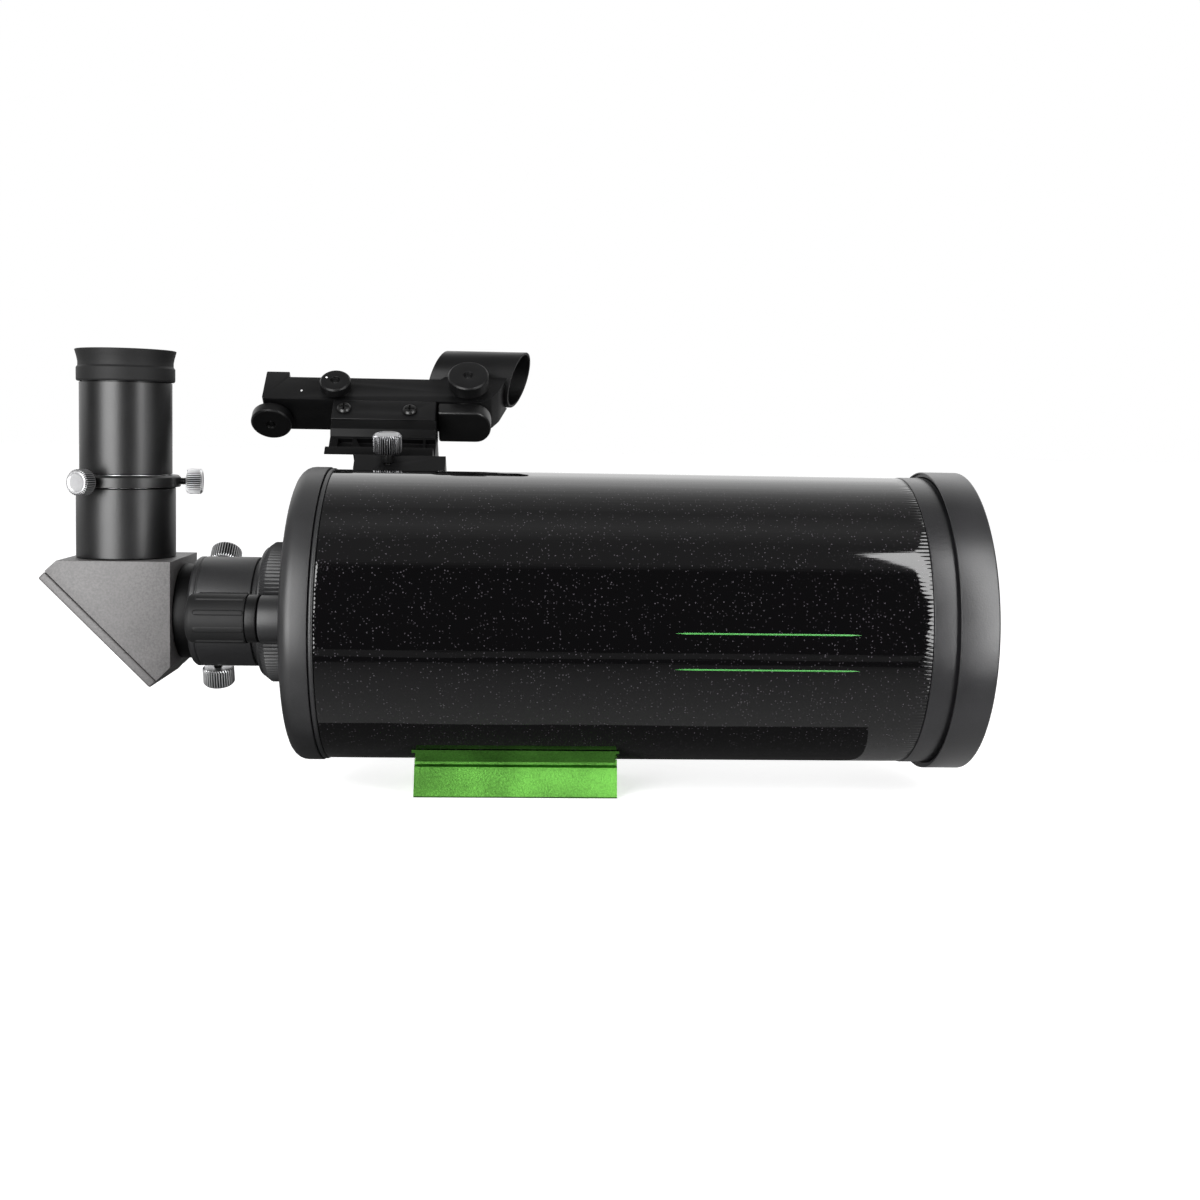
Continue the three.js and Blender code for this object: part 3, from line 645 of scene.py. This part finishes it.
def lock_ring():
    low = extent("lock_ring", AXIAL)[0].z
    teeth = 108
    depth = 0.55

    def knurled(radius, z, angle):
        if radius < 25.9 or not 1.5 < z - low < 13.2:
            return radius
        return radius - depth * (0.5 + 0.5 * math.cos(teeth * angle)) ** 0.7

    corners = [
        (21, 0, 0.2), (24.9, 0, 0.4), (25.6, 0.7, 0.4), (25.6, 1.4, 0), (26.2, 1.6, 0), (27.7, 3.6, 0.3),
        (27.7, 13, 0), (27.3, 13.6, 0.1), (23.9, 13.6, 0), (23.9, 3, 0), (21, 3, 0),
    ]
    corners = from_low("lock_ring", AXIAL, corners)
    stand_in("lock_ring", lathe("ring", corners, AXIAL, sides=teeth * 6, relief=knurled), "lock_ring")


def screw_place(name):
    """Frame of a thumb screw: local z out along its axis."""
    joint = JOINTS[f"{name}_turn"]
    return place(joint["pos_m"], z=joint["axis"], x=AHEAD if abs(joint["axis"][0]) < 0.9 else UP)


def visual_back():
    corners = from_low("visual_back", AXIAL, [
        (SOCKET_RADIUS, 0), (20.9, 0, 0.4), (21.6, 0.9, 0.6), (21.6, 2.3, 0.3), (21.25, 2.6, 0.1),
        (21.25, 3.0, 0.1), (21.6, 3.3, 0.3), (21.6, 24.1, 0.5), (20.6, 24.1, 0.1), (20.6, 29.8, 0),
        (23.5, 29.8), (23.5, 31.3), (SOCKET_RADIUS, 31.3),
    ])
    shell = lathe("visual_back_tube", corners, AXIAL, sides=160)
    cuts = []
    for name in ("visual_back_screw_upper", "visual_back_screw_lower"):
        cuts.append(rod("stud_hole", STUD_HOLE_RADIUS, -14, 4, screw_place(name), 32))
    stand_in("visual_back", worked(shell, cuts, bevel=0.15, steps=2))

    nose = from_low("diagonal_nosepiece", AXIAL, [
        (13.6, 0), (18.6, 0, 0.1), (18.6, 5.4, 0.4), (15.85, 5.4, 0), (15.85, 34.7, 0.5), (13.6, 34.7),
    ])
    # Painted shade: the nosepiece takes the darker copy of black plastic.
    stand_in("diagonal_nosepiece", lathe("nosepiece", nose, AXIAL), "diagonal", "painted_shade_plastic")


# ---------------------------------------------------------------- diagonal and eyepiece

def slope_frame():
    """Frame on the diagonal's 45 degree seam: local z out of its cover, local x up the slope."""
    cover = middle("diagonal_cover")
    return place((cover.x, 0, cover.z), z=(-1, 0, -1), x=(-1, 0, 1))


def diagonal():
    low, high = extent("diagonal_housing", UPRIGHT)
    face = high.x
    outline = [
        (face, high.z), (face - 42.6, high.z), (face - 47.1, high.z - 4.1), (face - 5.3, low.z),
        (face, low.z + 5.3),
    ]
    half = -low.y
    housing = prism("housing", outline, UPRIGHT @ SIDEWAYS, (-half, half))
    cuts = [
        rod("in_port", LIGHT_PORT_RADIUS, middle("eyepiece_body").x / MM, face + 5, AXIAL),
        rod("out_port", LIGHT_PORT_RADIUS, 0, high.z + 5, EYEPIECE),
    ]
    stand_in("diagonal_housing", worked(housing, cuts, bevel=0.55), "diagonal")

    slope = slope_frame()
    low, high = extent("diagonal_cover", slope)
    plate = block("cover", low, high, slope)
    stand_in("diagonal_cover", worked(plate, bevel=0.7), "diagonal")
    cover_screws(slope, high.z)


def cross_slots(reach, half, bottom, top, where):
    """The two cuts of a cross head."""
    return [block("slot", (-reach, -half, bottom), (reach, half, top), where),
            block("slot", (-half, -reach, bottom), (half, reach, top), where)]


def cover_screws(slope, level):
    along, aside = 24.5, 16.5
    corners = [(0, -0.3), (2.2, -0.3), (2.2, 0.5, 0.35), (0, 0.75)]
    for i, (side, end) in enumerate(((-1, -1), (1, -1), (-1, 1), (1, 1))):
        spot = slope @ Matrix.Translation((end * along, side * aside, level))
        head = lathe("cover_screw_head", corners, spot, 48)
        head = worked(head, cross_slots(1.3, 0.25, 0.2, 2, spot), bevel=0.05, steps=1)
        head.name = f"cover_screw_{i + 1}"
        dress(head, "blackened_screw", "diagonal")


def eyepiece():
    holder = from_low("eyepiece_holder", EYEPIECE, [
        (SOCKET_RADIUS, 0), (18.7, 0, 0.3), (18.7, 27.1, 0.5), (SOCKET_RADIUS, 27.1),
    ])
    stand_in("eyepiece_holder", lathe("holder", holder, EYEPIECE), "diagonal")
    clamp = from_low("eyepiece_clamp_ring", EYEPIECE, [
        (SOCKET_RADIUS, 0), (20.5, 0, 0.2), (20.5, 3.8, 0.2), (19.7, 4.6, 0.2), (SOCKET_RADIUS, 4.6),
    ])
    clamp = lathe("clamp_ring", clamp, EYEPIECE)
    cuts = []
    for name in ("diagonal_screw_near", "diagonal_screw_side"):
        cuts.append(rod("stud_hole", STUD_HOLE_RADIUS, -14, 4, screw_place(name), 32))
    stand_in("eyepiece_clamp_ring", worked(clamp, cuts, bevel=0.12, steps=2), "diagonal")

    body = from_low("eyepiece_body", EYEPIECE, [
        (16.15, 0), (17.4, 0, 0.4), (17.4, 35.7, 0.3), (16.4, 35.7, 0), (16.4, 40.7, 0.2), (10.4, 40.7, 0.4),
        (10.4, 39), (11.4, 39, 0), (11.4, 32.1, 0), (13.4, 32.1, 0), (13.4, 3.1, 0), (16.15, 3.1, 0),
    ])
    stand_in("eyepiece_body", lathe("eyepiece_shell", body, EYEPIECE), "eyepiece")
    barrel = from_low("eyepiece_barrel", EYEPIECE, [(13.4, 0), (15.85, 0, 0.6), (15.85, 30.7), (13.4, 30.7)])
    stand_in("eyepiece_barrel", lathe("eyepiece_sleeve", barrel, EYEPIECE), "eyepiece")
    cup = from_low("eyecup", EYEPIECE, [
        (16.7, 0, 0.2), (18.2, 0, 0.4), (18.5, 0.7, 0.5), (18.5, 5.2, 0.5), (17.9, 6, 0.5), (17.9, 7.6, 2),
        (18.3, 9.6, 3), (19, 12.1, 0.15), (18.6, 12.4, 0.15), (17.4, 9.1, 2), (16.9, 6.4, 0.6),
        (12.6, 6.4, 0.4), (12.6, 5, 0.3), (16.7, 5, 0),
    ])
    stand_in("eyecup", lathe("cup", cup, EYEPIECE), "eyepiece")


# ---------------------------------------------------------------- thumb screws

THUMB_SCREWS = ("visual_back_screw_upper", "visual_back_screw_lower", "diagonal_screw_near",
                "diagonal_screw_side", "shoe_screw")


def thumb_screw_head(name):
    where = screw_place(name)
    low, high = extent(f"{name}_head", where)
    radius = high.x
    tall = high.z - low.z
    teeth = 36
    depth = 0.6

    def knurled(r, z, angle):
        if r < radius - 0.35:
            return r
        return r - depth * (0.5 + 0.5 * math.cos(teeth * angle)) ** 1.2

    corners = [
        (0, 3.3), (1.75, 3.3, 0), (1.75, 0, 0.1), (radius - 0.8, 0, 0.2), (radius, 0.8, 0.1),
        (radius, tall - 0.8, 0.1), (radius - 0.8, tall, 0.2), (radius - 1.5, tall, 0.15),
        (radius - 1.8, tall - 0.25, 0.2), (0, tall - 0.1),
    ]
    head = from_low(f"{name}_head", where, corners)
    piece = lathe(f"{name}_knurl", head, where, sides=teeth * 8, relief=knurled)
    stand_in(f"{name}_head", piece, f"{name}_head", "darker_chrome" if name == "shoe_screw" else None)


def thumb_screw_stud(name):
    where = screw_place(name)
    low, high = extent(f"{name}_stud", where)
    pitch = 0.7
    half_depth = 0.12

    def threaded(r, z, angle):
        return r - half_depth - half_depth * math.cos(2 * math.pi * z / pitch - angle)

    turns = [(1.45, low.z + 0.1 * i, 0) for i in range(1, int((high.z - low.z) * 10))]
    corners = [(0, low.z), (1.1, low.z, 0), *turns, (1.1, high.z, 0), (0, high.z)]
    piece = lathe(f"{name}_thread", corners, where, sides=32, relief=threaded)
    stand_in(f"{name}_stud", piece, f"{name}_stud", "blackened_screw")


# ---------------------------------------------------------------- dovetail bar

def seat_arc(half_width, steps):
    """Points across the arc that lies on the tube, from its +y side to its -y side."""
    reach = math.asin(half_width / SEAT_RADIUS)
    angles = [reach * (1 - 2 * i / steps) for i in range(steps + 1)]
    return [(SEAT_RADIUS * math.sin(angle), SEAT_RADIUS * math.cos(angle)) for angle in angles]


def dovetail():
    low, high = extent("dovetail_bar", UPRIGHT)
    base = low.z
    half = high.x
    cradle = [(y, -z) for y, z in seat_arc(31, 32)]
    right = [
        (21.4, base), (22, base + 0.6), (18.9, base + 11.4), (17.6, base + 12.2), (17.6, base + 13.8),
        (26.8, base + 15.4),
    ]
    section = right + cradle + [(-y, z) for y, z in reversed(right)]
    bar = prism("bar", section, UPRIGHT @ ENDWAYS, (-half, half))
    cuts = []
    for name in ("dovetail_screw_rear", "dovetail_screw_front"):
        at = middle(name).x
        where = place((at, 0, 0), z=UP, x=AHEAD)
        cuts += [rod("bore", 2.8, -1, 20, where, 48), rod("counterbore", 4.9, -1, 6, where, 64)]
    for end in (-1, 1):
        for side in (-1, 1):
            xs = sorted((end * (half - 1.3), end * (half + 1)))
            ys = sorted((side * 17.6, side * 30))
            cuts.append(block("flange_end", (xs[0], ys[0], base + 12.4), (xs[1], ys[1], base + 40), UPRIGHT))
    cuts.append(rod("tripod_socket", 3.1, -1, 8, place((0.014, 0, 0), z=UP, x=AHEAD), 48))
    stand_in("dovetail_bar", worked(bar, cuts, bevel=0.3, steps=2))


# ---------------------------------------------------------------- finder

def shoe():
    low, high = extent("finder_shoe", FINDER)
    seat = [(-y, z) for y, z in seat_arc(high.y, 16)]
    section = seat + [(high.y, high.z), (-high.y, high.z)]
    body = prism("shoe", section, FINDER_END, (low.x, high.x))
    channel = [(-13, 63.2), (13, 63.2), (10.5, high.z + 0.1), (-10.5, high.z + 0.1)]
    cuts = [
        prism("channel", channel, FINDER_END, (low.x - 1, extent("finder_base", FINDER)[1].x + 0.6)),
        rod("stud_hole", STUD_HOLE_RADIUS, -16, 2, screw_place("shoe_screw"), 32),
    ]
    boss = rod("boss", 2.3, -8, -4.6, screw_place("shoe_screw"), 48)
    stand_in("finder_shoe", worked(body, cuts, [boss], bevel=0.35))


def shifted(outline, x):
    return [(corner[0] + x, corner[1]) for corner in outline]


def finder_base():
    low, high = extent("finder_base", FINDER)
    half = [
        (12.7, 63.5), (10.2, 70.3), (10.2, 71.8), (16, 71.8), (16, 76.6), (8.5, 76.6), (8.5, 90),
        (11, 92.5), (11, 98),
    ]
    section = half + [(-y, z) for y, z in reversed(half)]
    body = prism("base", section, FINDER_END, (low.x, high.x))
    pockets = (
        [(3.7, 78.4), (9.9, 78.4), (9.9, 89), (3.7, 89)],
        [(10.9, 78.4), (13.6, 78.4), (10.9, 84)],
        [(16.2, 78.4), (40.6, 78.4), (40.6, 89), (11.4, 89)],
        [(41.6, 78.4), (47, 78.4), (47, 89), (41.6, 89)],
    )
    heel = [(-1, 60), (14.4, 60), (10.2, 71.8), (-1, 71.8)]
    cuts = [prism("heel", shifted(heel, low.x), FINDER_SIDE, (-14, 14))]
    overhang = [(-20, 67.8), (20, 107.8), (20, 50), (-20, 50)]
    cuts.append(prism("overhang", overhang, FINDER_END, (low.x - 1, low.x + 12.4)))
    for outline in pockets:
        for depth in ((5.6, 12), (-12, -5.6)):
            cuts.append(prism("pocket", shifted(outline, low.x), FINDER_SIDE, depth))
    pivot = JOINTS["finder_azimuth"]["pos_m"][0] / MM
    pin = rod("pin", 3, 97, 101.5, FINDER @ Matrix.Translation((pivot, 0, 0)))
    # Painted shade: the base takes the darker copy of black plastic, for the shade it sits in.
    stand_in("finder_base", worked(body, cuts, [pin], bevel=0.35), "finder_base", "painted_shade_plastic")


def finder_carriage():
    low, high = extent("finder_carriage", FINDER)
    pivot = JOINTS["finder_azimuth"]["pos_m"][0] / MM
    deck = 110.4
    body = block("carriage", (low.x, -11, low.z), (high.x, 11, deck), FINDER)
    lug = block("lug", (pivot - 3, -4, 109), (pivot + 3, 4, high.z), FINDER)
    cuts = [rod("pin_hole", 3.3, 98, 102, FINDER @ Matrix.Translation((pivot, 0, 0)))]
    screws = ("finder_screw_rear", "finder_screw_front")
    for name in screws:
        cuts.append(rod("screw_hole", 1.6, 5.5, 12, side_place(name), 32))
    piece = worked(body, cuts, [lug], bevel=0.35)
    stand_in("finder_carriage", piece, "finder_carriage")
    for name in screws:
        cross_head(name)


def side_place(node):
    """Frame on a round piece's axis, local z out of the finder's near side."""
    low, high = extent(node, FINDER)
    return FINDER @ Matrix.Translation(((low.x + high.x) / 2, 0, (low.z + high.z) / 2)) @ SIDEWAYS


def cross_head(node):
    where = side_place(node)
    corners = from_low(node, where, [
        (0, 0), (1.3, 0), (1.3, 5.3, 0), (3.2, 5.3, 0.1), (3.1, 5.9, 0.5), (2.3, 6.7, 0.8), (0, 6.9),
    ])
    screw = lathe("cross_head", corners, where, 64)
    top = extent(node, where)[1].z
    screw = worked(screw, cross_slots(2.1, 0.4, top - 1.1, top + 1, where), bevel=0.08, steps=1)
    screw.name = f"{node}_cross"
    stand_in(node, screw, "finder_carriage", material="blackened_screw")


def altitude_place():
    """Frame on the altitude knob's axis, local z up."""
    low, high = extent("altitude_knob", FINDER)
    return FINDER @ Matrix.Translation(((low.x + high.x) / 2, (low.y + high.y) / 2, 0))


def hood_place():
    """Frame of the hood and its lens: local z forward, its ends leaning ahead towards the top."""
    slant = 0.4
    lean = Matrix.Identity(4)
    lean[0][2] = slant
    return FINDER @ hood_height() @ lean @ TO_AHEAD


def hood_height():
    low, high = extent("finder_hood", FINDER)
    return Matrix.Translation((0, 0, (low.z + high.z) / 2))


def finder_arm():
    low, high = extent("finder_arm", FINDER)
    rear, front, half = low.x, high.x, high.y
    bottom = low.z
    outline = [
        (rear, bottom, 1.2), (-19, bottom, 2), (-14.5, bottom + 3, 3), (-11.5, bottom + 7, 5),
        (front, 128.5, 0.6), (-36, 128.5, 0.4), (-38, 126.3, 0.6), (-106.3, 126.3, 0.6),
        (-106.3, 129.6, 0.5), (rear, 129.6, 0.6),
    ]
    body = prism("arm", outline, FINDER_SIDE, (-half, half), soft=0.6)
    pivot = JOINTS["finder_azimuth"]["pos_m"][0] / MM
    cuts = [
        rod("saddle", 13.2, -48, 10, FINDER @ hood_height() @ TO_AHEAD),
        block("pivot_pocket", (pivot - 4.5, -5, bottom - 1), (pivot + 4.5, 5, 119.6), FINDER),
        rod("led_hole", 1.6, -111, -105, FINDER @ Matrix.Translation((0, 0, 128)) @ TO_AHEAD, 32),
        rod("stem_hole", 3.4, 7, 12, side_place("brightness_knob"), 48),
        rod("stem_hole", 3.4, 7, 12, side_place("azimuth_knob"), 48),
    ]
    cuts.append(rod("stem_hole", 3.4, bottom - 1, bottom + 3, altitude_place(), 48))
    stand_in("finder_arm", worked(body, cuts, bevel=0.45), "finder_arm")

    dot = Matrix.Translation((rear + 17, 0, 117.5)) @ SIDEWAYS
    mark = lathe("arm_dot", [(0, half - 0.05), (0.5, half - 0.05), (0.5, half + 0.06), (0, half + 0.06)],
                 FINDER @ dot, 32, soft=0)
    dress(mark, "white_print", "finder_arm")


def finder_hood():
    where = hood_place()
    rear, front = -39.4, -2.5
    corners = [(11.7, rear, 0.3), (12.9, rear, 0.3), (12.9, front, 0.3), (11.7, front, 0.3)]
    stand_in("finder_hood", lathe("hood", corners, where), "finder_arm")
    corners = [(0, -21.2), (6, -20.9, 3), (11.4, -20, 0.1), (11.4, -18.4, 0.1), (6, -19.2, 3), (0, -19.5)]
    stand_in("finder_lens", lathe("window", corners, where), "finder_arm")


def battery_cover():
    low, high = extent("battery_cover", FINDER)
    half, rear, nose = high.y, low.x, high.x
    round_nose = 7
    steps = 16
    outline = [(rear, -half), (nose - round_nose, -half)]
    for i in range(1, steps):
        angle = math.pi * (i / steps - 0.5)
        outline.append((nose - round_nose + round_nose * math.cos(angle), half * math.sin(angle)))
    outline += [(nose - round_nose, half), (rear, half)]
    body = prism("cover", outline, FINDER, (low.z, high.z))
    cell_low, cell_high = extent("battery_cell", FINDER)
    well = FINDER @ Matrix.Translation(((cell_low.x + cell_high.x) / 2, 0, 0))
    cuts = [rod("well", 8.3, low.z + 1.6, high.z + 1, well)]
    piece = worked(body, cuts, bevel=1.1, steps=5)
    piece.name = "battery_box"
    stand_in("battery_cover", piece, "battery_drawer", "battery_plastic")


def finder_knob(node, where):
    """Disc knob on a stem, with a small sunk screw at the middle of its face."""
    low, high = extent(node, where)
    radius = high.x
    face, back = high.z, low.z
    thick = {"brightness_knob": 4.7, "azimuth_knob": 6.4, "altitude_knob": 5.3}[node]
    corners = [
        (0, back), (3, back), (3, face - thick, 0), (radius - 0.5, face - thick, 0.2),
        (radius, face - thick + 0.5, 0.2), (radius, face - 0.7, 0.4), (radius - 0.7, face, 0.4),
        (2.2, face, 0.2), (1.9, face - 1.1, 0.1), (1.3, face - 1.1, 0.05), (1.0, face - 0.8, 0.2),
        (0, face - 0.7),
    ]
    piece = lathe(f"{node}_disc", corners, where, 160)
    stand_in(node, piece, node)
    if node == "brightness_knob":
        spot = where @ Matrix.Translation((-3.9, 1.4, face))
        mark = lathe("knob_dot", [(0, -0.05), (0.5, -0.05), (0.5, 0.06), (0, 0.06)], spot, 32, soft=0)
        dress(mark, "white_print", node)


def finder_knobs():
    for node in ("brightness_knob", "azimuth_knob"):
        finder_knob(node, side_place(node))
    finder_knob("altitude_knob", altitude_place() @ Matrix.Rotation(math.pi, 4, "X"))


# ---------------------------------------------------------------- CAD nodes that stay

def finish_kept_nodes():
    for name, node in NODES.items():
        node.data.materials.clear()
        node.data.materials.append(MATERIALS[SLOTS[name]])
        smooth(node.data)


# ---------------------------------------------------------------- studio

def card(name, width, height, location, facing, strength):
    """Soft box: an area light of the given brightness, aimed at a point."""
    light = bpy.data.lights.new(name, "AREA")
    light.shape = "RECTANGLE"
    light.size = width
    light.size_y = height
    light.energy = strength * math.pi * width * height
    lamp = bpy.data.objects.new(name, light)
    lamp.location = location
    lamp.rotation_mode = "QUATERNION"
    lamp.rotation_quaternion = (Vector(facing) - Vector(location)).to_track_quat("-Z", "Y")
    lamp.visible_camera = False
    bpy.context.scene.collection.objects.link(lamp)


def lights():
    """Soft boxes on either side of the camera, turned to the telescope."""
    card("left_softbox", 0.58, 0.95, (-0.513, -0.69, 0.25), (-0.513, 0, 0.25), 10.0)
    card("right_strip", 0.13, 0.95, (0.35, -0.385, 0.25), (0.235, -0.215, 0.25), 9.5)
    card("right_softbox", 0.42, 0.95, (0.55, -0.235, 0.25), (0.30, 0.18, 0.25), 1.3)


# Brightness of the world round the telescope's length, by the angle in degrees: 180 is behind it,
# 90 above it and 0 in front of it, and below zero is under it.
SKY = [(-180, 0.65), (-170, 0.4), (-160, 0.03), (43, 0.03), (48, 0.17), (66, 0.17), (80, 0.35), (95, 0.2),
       (110, 0.33), (121, 0.55), (135, 0.95), (158, 1.1), (166, 0.8), (180, 0.65)]


def sky_ramp(nodes, turns):
    ramp = nodes.node("ShaderNodeValToRGB", {0: turns})
    elements = ramp.color_ramp.elements
    while len(elements) < len(SKY):
        elements.new(0.5)
    for element, (degrees, value) in zip(elements, SKY):
        element.position = (degrees + 180) / 360
        element.color = (value, value, value, 1)
    return ramp.outputs[0]


def world():
    """White behind and above, dark round the camera, with a white background for the camera itself."""
    scene = bpy.context.scene
    scene.world = bpy.data.worlds.new("studio")
    scene.world.use_nodes = True
    nodes = Nodes(scene.world.node_tree)
    background = nodes.tree.nodes["Background"]
    parts = nodes.apart(nodes.node("ShaderNodeTexCoord").outputs["Generated"])
    angle = nodes.math("ARCTAN2", parts[2], nodes.math("MULTIPLY", parts[1], -1.0))
    sky = sky_ramp(nodes, nodes.ranged(angle, -math.pi, math.pi, 0.0, 1.0))
    right = nodes.ranged(parts[0], 0.6, 0.9, 1.0, 0.12)
    dimmed = nodes.blend(1.0, sky, right, "MULTIPLY")
    seen = nodes.node("ShaderNodeLightPath").outputs["Is Camera Ray"]
    links = nodes.tree.links
    links.new(nodes.blend(seen, dimmed, (1, 1, 1, 1)), background.inputs["Color"])
    links.new(nodes.ranged(seen, 0.0, 1.0, 1.5, 1.0), background.inputs["Strength"])
    scene.view_settings.view_transform = "Standard"


def floor_plane(name, low, high, lift, color, **inputs):
    """Plain rectangle, lifted by so many metres from the floor, and its paint."""
    z = cad_low[2] - 0.0002 + lift
    bm = bmesh.new()
    corners = [(low[0], low[1], z), (high[0], low[1], z), (high[0], high[1], z), (low[0], high[1], z)]
    bm.faces.new([bm.verts.new(corner) for corner in corners])
    piece = new_piece(name, bm, Matrix.Identity(4))
    paint = Finish(name, (color, color, color), 0.9, Specular_IOR_Level=0.0, **inputs)
    piece.data.materials.append(paint.material)
    return piece, paint


def floor():
    """A white floor for the camera, the same floor again, darker, for reflections alone, and a painted
    shadow under the telescope, also for reflections alone.
    """
    wide, _ = floor_plane("floor", (-9, -9), (9, 9), 0, 0.8, Emission_Color=(1, 1, 1, 1),
                          Emission_Strength=0.62)
    wide.visible_glossy = False
    wide.visible_diffuse = False
    wide.visible_shadow = False

    edge, bright = -0.155, -0.06
    mirrored, paint = floor_plane("mirrored_floor", (-2, edge), (2, 2), 0.0001, 0.4)
    across = paint.apart(paint.where)[1]
    paint.link(paint.ranged(across, edge, bright, 0.13, 0.5), "Base Color")
    # Painted shadow: a dark sheet just above the reflected floor, under the telescope, standing in for its
    # shadow there.
    shade, _ = floor_plane("painted_floor_shadow", (-0.25, -0.046), (0.14, 0.3), 0.00015, 0.1)
    front, _ = floor_plane("mirrored_front", (-2, -0.215), (2, -0.18), 0.0001, 0.16)
    for piece in (mirrored, shade, front):
        piece.visible_camera = False
        piece.visible_diffuse = False
        piece.visible_shadow = False


def camera():
    yaw, pitch, roll = (math.radians(angle) for angle in (2.647, -3.464, 0.998))
    lens = bpy.data.cameras.new("camera")
    lens.sensor_width = 36
    lens.lens = 41.4
    lens.shift_y = -0.0697
    lens.clip_start = 0.01
    lens.clip_end = 50
    view = bpy.data.objects.new("camera", lens)
    view.location = (0.0065, -0.55098, 0.14218)
    ahead = Vector((math.sin(yaw) * math.cos(pitch), math.cos(yaw) * math.cos(pitch), math.sin(pitch)))
    right = Vector((math.cos(yaw), -math.sin(yaw), 0))
    up = right.cross(ahead)
    level = math.cos(roll) * right + math.sin(roll) * up
    top = -math.sin(roll) * right + math.cos(roll) * up
    view.rotation_mode = "QUATERNION"
    view.rotation_quaternion = Matrix((level, top, -ahead)).transposed().to_quaternion()
    bpy.context.scene.collection.objects.link(view)
    bpy.context.scene.camera = view


# ---------------------------------------------------------------- the whole

camera()
world()
lights()
floor()
finish_kept_nodes()
tube()
pinstripes()
rear_cell()
front_cell()
corrector()
primary_mirror()
dust_cap()
focuser()
lock_ring()
visual_back()
diagonal()
eyepiece()
for screw in THUMB_SCREWS:
    thumb_screw_head(screw)
    thumb_screw_stud(screw)
dovetail()
shoe()
finder_base()
finder_carriage()
finder_arm()
finder_hood()
battery_cover()
finder_knobs()
